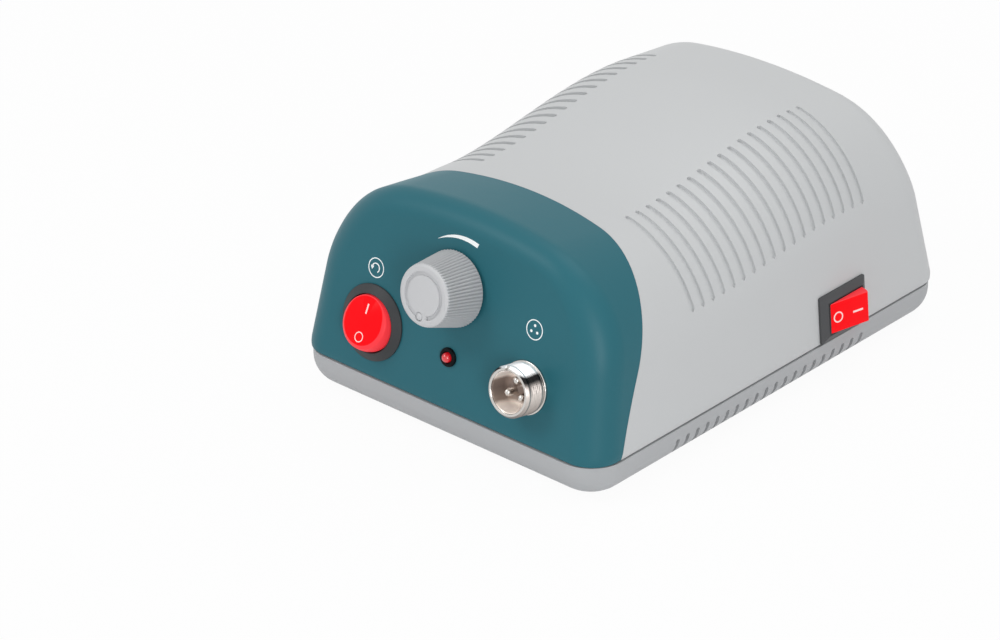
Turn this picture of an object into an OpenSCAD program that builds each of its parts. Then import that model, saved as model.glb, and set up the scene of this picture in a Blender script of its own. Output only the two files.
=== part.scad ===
// Control box of a bench micromotor: moulded two-part housing with a leaning control front.
// Front faces -Y, right side is +X, the feet stand on z = 0.

/* [Housing] */
// Width across the side walls at the seam
body_w = 115.8; // [104:0.2:130]
// Length from front to rear at the seam
body_l = 162.8; // [150:0.2:180]
// Height of the base tray from its underside to the seam
base_h = 11.6; // [10:0.1:14]
// Wall thickness of the mouldings
wall = 2.5; // [2:0.1:3]
// Plan radius of the covers' upright corners
corner_r = 9.8; // [8:0.2:14]
// Plan radius of the tray's corners
base_corner_r = 13.2; // [11:0.2:14]
// Radius of the lower edge of the base tray
base_edge_r = 8.5; // [5:0.5:9]
// Draft of the side walls in degrees
side_draft = 5.8; // [3:0.1:6.5]
// Lean of the control front in degrees
front_lean = 11.2; // [8:0.1:14]
// Lean of the rear wall in degrees
rear_lean = 12.5; // [8:0.1:14]
// Open seam between tray and covers
seam_gap = 0.5; // [0.3:0.1:0.8]
// Drop of the rubber feet below the tray
foot_drop = 0.7; // [0.5:0.1:3]

/* [Roof] */
// Height of the roof line above the seam at the middle of its step
roof_mid = 58.5; // [55:0.1:64]
// Rise of the S-shaped step from front to rear
roof_step = 15.7; // [8:0.1:18]
// Length of the step
roof_run = 83; // [70:1:110]
// Fall of the roof line towards the rear, per millimetre
roof_fall = 0.112; // [0.05:0.002:0.12]
// Station of the middle of the step
roof_y = 3; // [-8:0.5:8]
// Crown radius of the roof
crown_r = 170; // [120:5:220]
// Shoulder radius between roof and side wall
shoulder_r = 34; // [28:0.5:38]
// Edge radius between control front and roof
front_edge_r = 6; // [4:0.1:9]
// Edge radius between rear wall and roof
rear_edge_r = 7; // [5:0.5:10]

/* [Cover split] */
// Depth of the control front's band at the seam
split_depth = 11.5; // [11:0.1:16]
// Lean of the line where the covers meet, in degrees
split_lean = 18; // [12:0.1:20]
// Backward bow of that line, per millimetre of height
split_bow = 0.003; // [0:0.0005:0.004]

/* [Vents] */
// Slots in each roof row
vent_count = 18; // [10:1:20]
// Spacing of the slots
vent_pitch = 4.6; // [4:0.02:5]
// Width of a roof slot
vent_w = 1.7; // [1.2:0.1:2.2]
// Distance of the slots' upper ends from the middle of the body
vent_in = 27; // [22:0.5:34]
// Distance of the slots' lower ends from the side wall's foot
vent_margin = 4.9; // [3.5:0.1:6]
// Station of the middle of the rows
vent_y = 5.3; // [-2:0.1:8]
// Slots along each lower edge of the tray
base_vent_count = 20; // [12:1:20]
// Spacing of the tray slots
base_vent_pitch = 4.5; // [4:0.01:4.6]
// Width of a tray slot
base_vent_w = 1.7; // [1.2:0.1:2.2]
// Distance of the tray slots' upper ends below the seam
base_vent_drop = 3.8; // [3:0.1:5]
// Depth of the tray slots from the side wall
base_vent_depth = 6; // [4:0.1:6.5]
// Station of the middle of the tray slots
base_vent_y = -2.3; // [-6:0.1:2]

/* [Speed knob] */
// Place of the knob across the front
knob_x = -0.9; // [-4:0.1:4]
// Place of the knob up the front, from the seam
knob_v = 36.5; // [34:0.1:38]
// Diameter of the knob at its foot
knob_d = 22.6; // [20:0.2:24]
// Diameter of the knob's face
knob_face_d = 18.2; // [16:0.2:19]
// Height of the knob's face above the front
knob_h = 13.7; // [12.5:0.1:16]
// Gap between knob and front
knob_gap = 0.8; // [0.5:0.1:1.2]
// Flutes round the knob
knob_flutes = 60; // [40:1:72]
// Depth of a flute
flute_depth = 0.35; // [0.2:0.05:0.5]
// Shaft diameter of the speed control
shaft_d = 6; // [5:0.1:6.4]
// Bush diameter of the speed control
bush_d = 8; // [7.6:0.1:9]
// Body diameter of the speed control
pot_d = 16; // [14:0.5:18]
// Body depth of the speed control
pot_depth = 9; // [6:0.5:12]

/* [Direction switch] */
// Place of the round switch across the front
dir_x = -29.7; // [-32:0.1:-27]
// Place of the round switch up the front
dir_v = 16.3; // [15:0.1:18]
// Diameter of the round bezel
dir_bezel_d = 23; // [22:0.1:25]
// Radius that the round paddle swings on
dir_paddle_r = 8.5; // [8:0.1:9.2]
// Height of the round paddle's face above its hinge
dir_face_h = 3.6; // [2.5:0.1:4]
// Diameter of the switch body behind the front
dir_body_d = 20; // [19.6:0.1:20.4]

/* [Power switch] */
// Station of the power switch on the right wall
power_y = 30.9; // [26:0.1:36]
// Height of the power switch up the wall, from the seam
power_v = 7.7; // [7.7:0.1:12]
// Length of the power bezel
power_bezel_l = 21.4; // [20.6:0.1:23]
// Height of the power bezel
power_bezel_h = 14.9; // [14:0.1:15]
// Radius that the power paddle swings on
power_paddle_r = 7.7; // [7:0.1:8]
// Height of the power paddle
power_paddle_h = 9.4; // [8.6:0.1:10]
// Height of the power paddle's face above its hinge
power_face_h = 3.3; // [2.6:0.1:4]

/* [Switches] */
// Thickness of the switch bezels
bezel_t = 2; // [1.6:0.1:2.4]
// Tilt of a paddle either side of level, in degrees
paddle_tilt = 15; // [10:0.5:15]
// Depth of the switch bodies behind the wall
switch_depth = 14; // [12:0.5:16]

/* [Motor socket] */
// Place of the motor socket across the front
sock_x = 29.2; // [26:0.1:31]
// Place of the motor socket up the front
sock_v = 16.6; // [15:0.1:18]
// Diameter of the socket's threaded shell
sock_d = 15.4; // [14:0.1:16.4]
// Reach of the shell in front of the wall
sock_h = 8; // [7:0.1:10]
// Bore of the shell
sock_bore_d = 12.4; // [11.6:0.1:12.8]
// Circle that the three pins stand on
sock_pin_pcd = 6; // [5:0.1:6.6]
// Diameter of a pin
sock_pin_d = 1.9; // [1.6:0.1:2.2]

/* [Lamp] */
// Place of the lamp across the front
lamp_x = 0.1; // [-3:0.1:2]
// Place of the lamp up the front
lamp_v = 15.7; // [14:0.1:17]
// Diameter of the lamp's collar
lamp_collar_d = 6.1; // [5.6:0.1:7]
// Diameter of the lamp
lamp_d = 3; // [2.6:0.1:3.2]

/* [Rear] */
// Place of the mains inlet from the middle of the rear wall
inlet_x = 28; // [26:0.5:30]
// Height of the mains inlet up the rear wall
inlet_v = 24; // [20:0.5:28]
// Width of the inlet's socket
inlet_w = 24.6; // [24:0.1:25.4]
// Height of the inlet's socket
inlet_h = 16.8; // [16:0.1:17.4]
// Depth of the inlet's socket
inlet_depth = 16; // [14:0.5:18]
// Place of the pedal jack from the middle of the rear wall
jack_x = -36; // [-38:0.5:-34]
// Height of the pedal jack up the rear wall
jack_v = 24; // [20:0.5:28]
// Bore of the pedal jack
jack_bore_d = 6.5; // [6.4:0.05:6.8]

/* [Power unit] */
// Width of the transformer core
core_w = 57; // [50:0.5:60]
// Height of the transformer core
core_h = 47.5; // [42:0.5:48]
// Stack of the transformer core
core_stack = 36; // [30:0.5:38]
// Place of the transformer across the tray
core_x = -8; // [-10:0.5:-6]
// Station of the transformer
core_y = 34; // [32:0.5:38]
// Width of the circuit board
board_w = 80; // [76:0.5:82]
// Length of the circuit board
board_l = 58; // [54:0.5:60]
// Station of the middle of the circuit board
board_y = -28; // [-30:0.5:-27]
// Height of the board's posts
post_h = 6; // [5:0.5:8]

/* [Clearances] */
// Running clearance round a shaft or a hinge pin
run_fit = 0.05; // [0.03:0.01:0.08]
// Clearance round a fixed piece in its hole
hole_fit = 0.1; // [0.05:0.05:0.2]
// Swing clearance round a paddle
swing_fit = 0.3; // [0.2:0.05:0.4]

/* [Hidden] */

$fn = 64;
half_w = body_w / 2;
half_l = body_l / 2;
tray_z = foot_drop;
seam_z = tray_z + base_h;
floor_z = tray_z + wall;
front_y = -half_l;
rear_y = half_l;
cut = 1;

// Rings of the roof loft
shoulder_steps = 11;
crown_steps = 5;
edge_steps = 6;
body_step = 5;
blend_steps = 3;
loft_from = -36;
loft_to = 44;
// Edge radii change from upright corner to roof edge over this turn of the section
blend_from = 20;
blend_turn = 55;

// Paddle hinges, within the bezels
hinge_w = bezel_t / 2;
power_hinge_w = 0.3 * bezel_t;
hinge_pin_r = 0.6;
hinge_pin_l = 1.5;
power_pin_l = 1;
paddle_under = 1.2;
bezel_edge = 0.4;

// The origin is the middle of the whole box on the table, with knob and power paddle
power_face_l = sqrt(pow(power_paddle_r, 2) - pow(power_face_h, 2));
power_reach = power_hinge_w + power_face_h * cos(paddle_tilt) + power_face_l * sin(paddle_tilt);
right_reach = half_w + power_reach * cos(side_draft)
    - (power_v - power_paddle_h / 2) * sin(side_draft);
front_reach = half_l - (knob_v - knob_face_d / 2) * sin(front_lean) + knob_h * cos(front_lean);
origin_x = (right_reach - half_w) / 2;
origin_y = (half_l - front_reach) / 2;

// Colours
cover_grey = [0.81, 0.82, 0.83];
base_grey = [0.67, 0.68, 0.69];
teal = [0.25, 0.44, 0.48];
red = [1, 0.1, 0.16];
dark = [0.29, 0.29, 0.3];
black = [0.08, 0.08, 0.09];
knob_grey = [0.74, 0.75, 0.76];
nickel = [0.8, 0.79, 0.77];
brass = [0.8, 0.65, 0.35];
steel = [0.6, 0.61, 0.62];
copper = [0.72, 0.42, 0.22];
green = [0.1, 0.35, 0.2];
blue = [0.15, 0.3, 0.6];

function smooth(t) = let (u = max(0, min(1, t))) u * u * (3 - 2 * u);
function mix(a, b, t) = a + (b - a) * t;

// Roof line above the seam: a falling line with an S-shaped step in it
function roof(y) = roof_mid - roof_fall * y
    + roof_step * (smooth((y - roof_y) / roof_run + 0.5) - 0.5);

// Right half of a cross-section under a roof of height h, set in by e:
// drafted wall, shoulder arc and crown arc, as [x, z, turn]
function half_arch(h, e) = let (
    a = half_w - e / cos(side_draft),
    top = h - e,
    rc = crown_r - e,
    rs = shoulder_r - e,
    cz = top - rc,
    q = a - rs / cos(side_draft),
    t = tan(side_draft),
    b = q * t + cz,
    sz = (b + sqrt(b * b - (t * t + 1) * (q * q + cz * cz - pow(rc - rs, 2)))) / (t * t + 1),
    sx = q - sz * t,
    turn = atan2(sz - cz, sx))
    concat([[a, 0, side_draft]],
        [for (i = [0:shoulder_steps]) let (g = mix(side_draft, turn, i / shoulder_steps))
            [sx + rs * cos(g), sz + rs * sin(g), g]],
        [for (i = [1:crown_steps]) let (g = mix(turn, 90, i / crown_steps))
            [rc * cos(g), cz + rc * sin(g), g]]);

// A station is [y at the seam, lean, bow, corner radius, roof edge radius, edge turn, facing]
function front_station(e, turn) = [front_y + e / cos(front_lean), front_lean, 0,
    corner_r - e, front_edge_r - e, turn, 1];
function rear_station(e, turn) = [rear_y - e / cos(rear_lean), -rear_lean, 0,
    corner_r - e, rear_edge_r - e, turn, -1];
function split_station(facing) = [front_y + split_depth, split_lean, split_bow, 0, 0, 0, facing];
function plain_station(y) = [y, 0, 0, 0, 0, 0, -1];

// One ring of points from the right foot over the roof to the left foot
function ring(s, e) = let (
    crest = s[0] + s[6] * s[4] + roof_mid * tan(s[1]) + s[2] * roof_mid * roof_mid,
    half = [for (p = half_arch(roof(crest), e)) let (
        r = mix(s[3], s[4], smooth((p[2] - blend_from) / blend_turn)),
        d = r * (1 - cos(s[5])),
        x = p[1] == 0 ? p[0] - d / cos(side_draft) : p[0] - d * cos(p[2]),
        z = p[1] == 0 ? 0 : p[1] - d * sin(p[2]))
        [x, s[0] + s[6] * r * (1 - sin(s[5])) + z * tan(s[1]) + s[2] * z * z, seam_z + z]],
    n = len(half))
    concat(half, [for (i = [n - 2:-1:0]) [-half[i][0], half[i][1], half[i][2]]]);

function blend(a, b) = [for (i = [1:blend_steps - 1]) mix(a, b, i / blend_steps)];
function edge_turns() = [for (i = [0:edge_steps]) 90 * i / edge_steps];
function front_stations(e) = concat([split_station(1)],
    blend(split_station(1), front_station(e, 0)),
    [for (t = edge_turns()) front_station(e, t)]);
function top_stations(e) = concat([split_station(-1)],
    blend(split_station(-1), plain_station(loft_from)),
    [for (y = [loft_from:body_step:loft_to]) plain_station(y)],
    blend(plain_station(loft_to), rear_station(e, 0)),
    [for (t = edge_turns()) rear_station(e, t)]);

function turned(faces, flip) = flip ? [for (f = faces) [for (i = [len(f) - 1:-1:0]) f[i]]] : faces;
function quad(a, b, c, d) = [[a, b, c], [a, c, d]];

// Thin-walled cover lofted through two lists of rings, open at the first ring and the foot
module loft_shell(outer, inner, flip) {
    m = len(outer);
    n = len(outer[0]);
    mid = (n - 1) / 2;
    skin = [for (j = [0:m - 2]) for (i = [0:n - 2])
        each quad(j * n + i, j * n + i + 1, (j + 1) * n + i + 1, (j + 1) * n + i)];
    last = (m - 1) * n;
    cap = [for (i = [0:mid - 1]) each i == mid - 1 ? [[last + i, last + mid, last + mid + 1]] :
        quad(last + i, last + i + 1, last + n - 2 - i, last + n - 1 - i)];
    closed = concat(skin, cap);
    o = m * n;
    inside = [for (f = closed) [f[2] + o, f[1] + o, f[0] + o]];
    rim = [for (i = [0:n - 2]) each quad(i, o + i, o + i + 1, i + 1)];
    foot = [for (j = [0:m - 2]) each concat(
        quad(j * n, (j + 1) * n, o + (j + 1) * n, o + j * n),
        quad((j + 2) * n - 1, (j + 1) * n - 1, o + (j + 1) * n - 1, o + (j + 2) * n - 1))];
    sill = quad(last, last + n - 1, o + last + n - 1, o + last);
    pts = concat([for (r = outer) each r], [for (r = inner) each r]);
    polyhedron(pts, turned(concat(closed, inside, rim, foot, sill), flip), convexity = 8);
}

// Places on the leaning front, the right wall and the leaning rear wall:
// local x runs to the right as seen from outside, y up the wall, z out of it
module on_front(x, v) {
    translate([0, front_y, seam_z]) rotate([90 - front_lean, 0, 0]) translate([x, v, 0]) children();
}
module on_right(y, v) {
    translate([half_w, 0, seam_z]) rotate([90 - side_draft, 0, 90]) translate([y, v, 0]) children();
}
module on_rear(x, v) {
    translate([0, rear_y, seam_z]) rotate([90 - rear_lean, 0, 180]) translate([-x, v, 0]) children();
}
// The whole part, moved so that its box is centred on the origin
module placed() {
    translate([-origin_x, -origin_y, 0]) children();
}
// Hollow round bar from a to b
module tube(r, bore, a, b) {
    translate([0, 0, a]) difference() {
        cylinder(r = r, h = b - a);
        translate([0, 0, -cut]) cylinder(r = bore, h = b - a + 2 * cut);
    }
}
module rod(r, a, b) {
    translate([0, 0, a]) cylinder(r = r, h = b - a);
}
// Block centred in x and y, from a to b in z
module block(w, l, a, b) {
    translate([-w / 2, -l / 2, a]) cube([w, l, b - a]);
}
// Block with rounded upright edges
module soft_block(w, l, r, a, b) {
    translate([0, 0, a]) linear_extrude(b - a) soft_square(w, l, r);
}
// Block that follows the plan of the body, set in by e
module inset_block(e, a, b, r = corner_r) {
    soft_block(body_w - 2 * e, body_l - 2 * e, r - e, a, b);
}
module soft_square(w, l, r) {
    square([w - 2 * r, l], center = true);
    square([w, l - 2 * r], center = true);
    for (x = [-1, 1], y = [-1, 1])
        translate([x * (w / 2 - r), y * (l / 2 - r)]) circle(r);
}

// Base tray

boss_r = 4;
screw_r = 1.45;
pilot_r = screw_r + run_fit;
screw_head_r = 2.9;
screw_head_h = 2;
screw_sink = 1;
boss_h = 22;
tongue_t = 1.2;
tongue_h = 2;
tongue_gap = 0.6;
foot_r = 6;
foot_seat = 1;
foot_x = 34;
foot_y = 62;
pad_h = 3;
pad_r = 4.5;
// Case screws: four hold the top cover and two the front cover
top_boss_x = half_w - 10.3;
top_boss_ys = [-57, rear_y - 15.2];
front_boss_x = half_w - 13.3;
front_boss_y = front_y + 11.7;
boss_spots = concat([for (x = [-1, 1], y = top_boss_ys) [x * top_boss_x, y]],
    [for (x = [-1, 1]) [x * front_boss_x, front_boss_y]]);

// Half profile with a rounded lower edge
module edge_profile(w, h, r) {
    intersection() {
        union() {
            translate([0, r]) square([w, h]);
            square([w - r, h]);
            translate([w - r, r]) circle(r);
        }
        square([w, h]);
    }
}
// Bar with two rounded lower edges
module rounded_bar(w, l, h, r) {
    rotate([90, 0, 0]) linear_extrude(l, center = true) for (s = [0, 1]) mirror([s, 0]) edge_profile(w, h, r);
}
// Tub with upright corners and one rounded lower edge, set in by e
module tub(e, z0, z1) {
    r = base_corner_r - e;
    edge = base_edge_r - e;
    w = half_w - e;
    l = half_l - e;
    translate([0, 0, z0]) {
        rounded_bar(w, 2 * (l - r), z1 - z0, edge);
        rotate([0, 0, 90]) rounded_bar(l, 2 * (w - r), z1 - z0, edge);
        for (x = [-1, 1], y = [-1, 1]) translate([x * (w - r), y * (l - r), 0])
            rotate_extrude() edge_profile(r, z1 - z0, edge);
    }
}
module tray_slots() {
    for (s = [-1, 1], i = [0:base_vent_count - 1])
        translate([s * (half_w - base_vent_depth / 2 + cut / 2),
            base_vent_y + (i - (base_vent_count - 1) / 2) * base_vent_pitch, 0])
            block(base_vent_depth + cut, base_vent_w, tray_z - cut, seam_z - base_vent_drop);
}
strap_t = 1.2;
strap_w = 30;
strap_foot = 10;
strap_hole_x = core_w / 2 + strap_t + strap_foot / 2;
strap_hole_y = 9;
core_z = floor_z + pad_h;
strap_spots = [for (x = [-1, 1], y = [-1, 1]) [core_x + x * strap_hole_x, core_y + y * strap_hole_y]];
board_inset = 4;
board_post_r = 3.5;
board_t = 1.6;
board_z = floor_z + post_h;
board_top = board_z + board_t;
board_spots = [for (x = [-1, 1], y = [-1, 1])
    [x * (board_w / 2 - board_inset), board_y + y * (board_l / 2 - board_inset)]];
board_screw_r = 1.4;
board_screw_head_r = 2.7;
board_screw_l = 5;
tray_rim = seam_z - seam_gap;

module base_tray() {
    color(base_grey) placed() difference() {
        union() {
            difference() {
                tub(0, tray_z, tray_rim);
                tub(wall, floor_z, tray_rim + corner_r);
                tray_slots();
            }
            difference() {
                union() {
                    inset_block(wall + tongue_gap, tray_rim - tongue_h, seam_z + tongue_h);
                    inset_block(wall - tongue_gap, tray_rim - tongue_h, tray_rim, base_corner_r);
                }
                inset_block(wall + tongue_gap + tongue_t, tray_rim - tongue_h - cut, seam_z + tongue_h + cut);
                translate([half_w, power_y, 0])
                    block(2 * switch_depth, power_bezel_l + 2 * tongue_gap, tray_rim, seam_z + tongue_h + cut);
            }
            for (p = boss_spots) translate([p[0], p[1], 0]) rod(boss_r, floor_z - cut, seam_z);
            for (p = strap_spots) translate([p[0], p[1], 0]) rod(pad_r, floor_z - cut, core_z);
            for (p = board_spots) translate([p[0], p[1], 0]) rod(board_post_r, floor_z - cut, board_z);
            for (s = [-1, 1]) translate([core_x + s * core_w / 4, core_y, 0])
                block(wall, core_stack, floor_z - cut, core_z);
        }
        for (p = boss_spots) translate([p[0], p[1], 0]) {
            rod(screw_r + hole_fit, tray_z - cut, seam_z + cut);
            rod(screw_head_r + hole_fit, tray_z - cut, tray_z + screw_sink + screw_head_h);
        }
        for (p = strap_spots) translate([p[0], p[1], 0]) rod(pilot_r, floor_z, core_z + cut);
        for (p = board_spots) translate([p[0], p[1], 0])
            rod(board_screw_r + run_fit, board_z - board_screw_l - cut, board_z + cut);
        for (x = [-1, 1], y = [-1, 1])
            translate([x * foot_x, y * foot_y, 0]) rod(foot_r + hole_fit, 0, tray_z + foot_seat);
    }
}
module feet() {
    color(black) placed() for (x = [-1, 1], y = [-1, 1])
        translate([x * foot_x, y * foot_y, 0]) {
            cylinder(r1 = foot_r - foot_drop / 2, r2 = foot_r, h = foot_drop);
            rod(foot_r, foot_drop, tray_z + foot_seat);
        }
}
screw_bite = 9;
module case_screws() {
    color(steel) placed() for (p = boss_spots) translate([p[0], p[1], 0]) {
        rod(screw_head_r, tray_z + screw_sink, tray_z + screw_sink + screw_head_h);
        rod(screw_r, tray_z + screw_sink, seam_z + screw_bite);
    }
}

// Covers

rib_t = 2;
vent_out = half_w - vent_margin;
power_body_l = 19.2;
power_body_h = 12.8;

module roof_slot() {
    translate([(vent_in + vent_out) / 2, 0, 0])
        block(vent_out - vent_in, vent_w, seam_z + boss_h, seam_z + 2 * roof_mid);
}
module cover_boss() {
    rod(boss_r, seam_z, seam_z + boss_h);
}
module top_cover() {
    color(cover_grey) placed() difference() {
        union() {
            loft_shell([for (s = top_stations(0)) ring(s, 0)],
                [for (s = top_stations(wall)) ring(s, wall)], false);
            for (x = [-1, 1], y = top_boss_ys) translate([x * top_boss_x, y, 0]) {
                cover_boss();
                translate([x * (half_w - top_boss_x - wall) / 2, 0, 0])
                    block(half_w - top_boss_x - wall, rib_t,
                        seam_z + 2 * tongue_h, seam_z + boss_h);
            }
        }
        for (s = [0, 1]) mirror([s, 0, 0]) for (i = [0:vent_count - 1])
            translate([0, vent_y + (i - (vent_count - 1) / 2) * vent_pitch, 0]) roof_slot();
        for (x = [-1, 1], y = top_boss_ys)
            translate([x * top_boss_x, y, 0]) rod(pilot_r, seam_z - cut, seam_z + screw_bite + cut);
        on_right(power_y, power_v)
            block(power_body_l + 2 * hole_fit, power_body_h + 2 * hole_fit, -switch_depth, bezel_t);
        on_rear(inlet_x, inlet_v)
            block(inlet_w + 2 * (inlet_wall + hole_fit), inlet_h + 2 * (inlet_wall + hole_fit),
                -inlet_depth, bezel_t);
        on_rear(jack_x, jack_v) rod(jack_bush_r + hole_fit, -2 * wall, 2 * wall);
    }
}
front_rib_l = front_boss_y - front_y - wall;
module front_cover() {
    color(teal) placed() difference() {
        union() {
            loft_shell([for (s = front_stations(0)) ring(s, 0)],
                [for (s = front_stations(wall)) ring(s, wall)], true);
            for (x = [-1, 1]) translate([x * front_boss_x, front_boss_y, 0]) {
                rod(boss_r, seam_z, seam_z + boss_h / 2);
                translate([0, -front_rib_l / 2, 0])
                    block(rib_t, front_rib_l, seam_z + 2 * tongue_h, seam_z + boss_h / 2);
            }
        }
        for (x = [-1, 1]) translate([x * front_boss_x, front_boss_y, 0])
            rod(pilot_r, seam_z - cut, seam_z + screw_bite + cut);
        on_front(knob_x, knob_v) rod(bush_d / 2 + hole_fit, -2 * wall, wall);
        on_front(dir_x, dir_v) rod(dir_body_d / 2 + hole_fit, -2 * wall, wall);
        on_front(sock_x, sock_v) rod(sock_neck_r + hole_fit, -2 * wall, wall);
        on_front(lamp_x, lamp_v) rod(lamp_barrel_r + hole_fit, -2 * wall, wall);
    }
}

// Round direction switch: bezel and body, paddle on a level hinge, tabs

tab_w = 4.8;
tab_t = 0.8;
tab_l = 7;
tab_gap = 6;
dir_recess_r = dir_paddle_r + swing_fit;
recess_depth = hinge_w - paddle_under - dir_paddle_r * sin(paddle_tilt) - swing_fit - paddle_under;

module direction_body() {
    color(dark) placed() on_front(dir_x, dir_v) difference() {
        union() {
            rod(dir_bezel_d / 2, 0, bezel_t - bezel_edge);
            translate([0, 0, bezel_t - bezel_edge])
                cylinder(r1 = dir_bezel_d / 2, r2 = dir_bezel_d / 2 - bezel_edge, h = bezel_edge);
            rod(dir_body_d / 2, -switch_depth, cut / 2);
        }
        rod(dir_recess_r, recess_depth, bezel_t + cut);
        translate([0, 0, hinge_w]) rotate([0, 90, 0])
            rod(hinge_pin_r + run_fit, -dir_paddle_r - hinge_pin_l - run_fit,
                dir_paddle_r + hinge_pin_l + run_fit);
    }
}
module direction_rocker() {
    color(red) placed() on_front(dir_x, dir_v) translate([0, 0, hinge_w]) rotate([-paddle_tilt, 0, 0]) {
        intersection() {
            sphere(dir_paddle_r);
            block(3 * dir_paddle_r, 3 * dir_paddle_r, -paddle_under, dir_face_h);
        }
        rotate([0, 90, 0])
            rod(hinge_pin_r, -dir_paddle_r - hinge_pin_l + run_fit, dir_paddle_r + hinge_pin_l - run_fit);
    }
}
module direction_tabs() {
    color(brass) placed() on_front(dir_x, dir_v) for (y = [-1, 1])
        translate([0, y * tab_gap / 2, 0]) block(tab_w, tab_t, -switch_depth - tab_l, -switch_depth);
}

// Power switch on the right wall: mitred bezel and body, paddle on an upright hinge, tabs

power_rim = 0.7;
power_lip = 0.3;
power_mouth_l = 2 * (power_paddle_r + swing_fit);
power_mouth_h = power_paddle_h + 2 * swing_fit;

// Frame that rises from an upright rim to the lip of the mouth
module mitred_bezel() {
    levels = [[power_bezel_l, power_bezel_h, 0], [power_bezel_l, power_bezel_h, power_rim],
        [power_mouth_l + 2 * power_lip, power_mouth_h + 2 * power_lip, bezel_t]];
    corners = [[-0.5, -0.5], [0.5, -0.5], [0.5, 0.5], [-0.5, 0.5]];
    sides = [for (k = [0, 4], i = [0:3]) [k + i, k + i + 4, k + (i + 1) % 4 + 4, k + (i + 1) % 4]];
    polyhedron([for (p = levels, c = corners) [c[0] * p[0], c[1] * p[1], p[2]]],
        concat([[0, 1, 2, 3], [11, 10, 9, 8]], sides));
}
module power_body() {
    color(dark) placed() on_right(power_y, power_v) difference() {
        union() {
            mitred_bezel();
            block(power_body_l, power_body_h, -switch_depth, cut / 2);
        }
        block(power_mouth_l, power_mouth_h, recess_depth, bezel_t + cut);
        translate([0, 0, power_hinge_w]) rotate([90, 0, 0])
            rod(hinge_pin_r + run_fit, -power_paddle_h / 2 - power_pin_l, power_paddle_h / 2 + power_pin_l);
    }
}
module power_rocker() {
    color(red) placed() on_right(power_y, power_v) translate([0, 0, power_hinge_w])
        rotate([0, -paddle_tilt, 0]) {
            intersection() {
                rotate([90, 0, 0]) rod(power_paddle_r, -power_paddle_h / 2, power_paddle_h / 2);
                block(3 * power_paddle_r, 2 * power_paddle_h, -paddle_under, power_face_h);
            }
            rotate([90, 0, 0]) rod(hinge_pin_r, -power_paddle_h / 2 - power_pin_l + run_fit,
                power_paddle_h / 2 + power_pin_l - run_fit);
        }
}
module power_tabs() {
    color(brass) placed() on_right(power_y, power_v) for (x = [-1, 1])
        translate([x * tab_gap / 2, 0, 0]) block(tab_t, tab_w, -switch_depth - tab_l, -switch_depth);
}

// Speed control: knob on a shaft that turns in the bush of the control

washer_t = 0.6;
washer_r = bush_d / 2 + 2;
nut_af = bush_d + 3;
nut_t = 2.2;
nut_r = nut_af / 2 / cos(30);
bush_top = washer_t + nut_t + 1;
shaft_top = knob_h - 2;
shaft_foot = -wall - 1;
knob_recess_r = nut_r + 0.8;
knob_recess_top = bush_top + 0.4;
knob_rim = 1;
groove_in = 5.9;
groove_out = 7.1;
groove_depth = 0.6;
dot_r = 1.1;
dot_turn = 262;
groove_turn = 330;

// Outline of the knob with its flutes
module flute_outline(r) {
    n = 4 * knob_flutes;
    polygon([for (i = [0:n - 1]) let (s = r - flute_depth * (0.5 - 0.5 * cos(360 * i / 4)))
        [s * cos(360 * i / n), s * sin(360 * i / n)]]);
}
module speed_knob() {
    side_h = knob_h - knob_gap - knob_rim;
    top_r = knob_face_d / 2;
    rim_r = mix(knob_d / 2, top_r, side_h / (side_h + knob_rim));
    color(knob_grey) placed() on_front(knob_x, knob_v) {
        difference() {
            union() {
                translate([0, 0, knob_gap])
                    linear_extrude(side_h, scale = rim_r / (knob_d / 2)) flute_outline(knob_d / 2);
                translate([0, 0, knob_h - knob_rim])
                    cylinder(r1 = rim_r - flute_depth, r2 = top_r - knob_rim, h = knob_rim);
            }
            rod(knob_recess_r, 0, knob_recess_top);
            rod(shaft_d / 2 + run_fit / 2, 0, shaft_top + run_fit);
            translate([0, 0, knob_h - groove_depth]) rotate([0, 0, dot_turn + (360 - groove_turn) / 2])
                rotate_extrude(angle = groove_turn) translate([groove_in, 0])
                    square([groove_out - groove_in, groove_depth + cut]);
            rotate([0, 0, dot_turn]) translate([(groove_in + groove_out) / 2, 0, 0])
                tube(dot_r + 0.3, dot_r, knob_h - groove_depth, knob_h + cut);
        }
    }
}
module pot_shaft() {
    color(steel) placed() on_front(knob_x, knob_v) rod(shaft_d / 2, shaft_foot, shaft_top);
}
module pot_body() {
    color(steel) placed() on_front(knob_x, knob_v) difference() {
        union() {
            rod(pot_d / 2, -wall - pot_depth, -wall);
            rod(bush_d / 2, -wall - cut, bush_top);
        }
        rod(shaft_d / 2 + run_fit, shaft_foot - 0.3, bush_top + cut);
    }
}
module pot_washer() {
    color(steel) placed() on_front(knob_x, knob_v) tube(washer_r, bush_d / 2 + run_fit, 0, washer_t);
}
module pot_nut() {
    color(brass) placed() on_front(knob_x, knob_v) difference() {
        translate([0, 0, washer_t]) cylinder(r = nut_r, h = nut_t, $fn = 6);
        rod(bush_d / 2 + run_fit, 0, washer_t + nut_t + cut);
    }
}
pot_tab_gap = 5;
pot_tab_w = 1.6;
pot_tab_w0 = -wall - pot_depth / 2 - tab_t;
module pot_tabs() {
    color(brass) placed() on_front(knob_x, knob_v) difference() {
        for (x = [-1, 0, 1]) translate([x * pot_tab_gap, -pot_d / 2, 0])
            block(pot_tab_w, 2 * tab_l, pot_tab_w0, pot_tab_w0 + tab_t);
        rod(pot_d / 2, -wall - pot_depth - cut, 0);
    }
}

// Lamp in its collar

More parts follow.
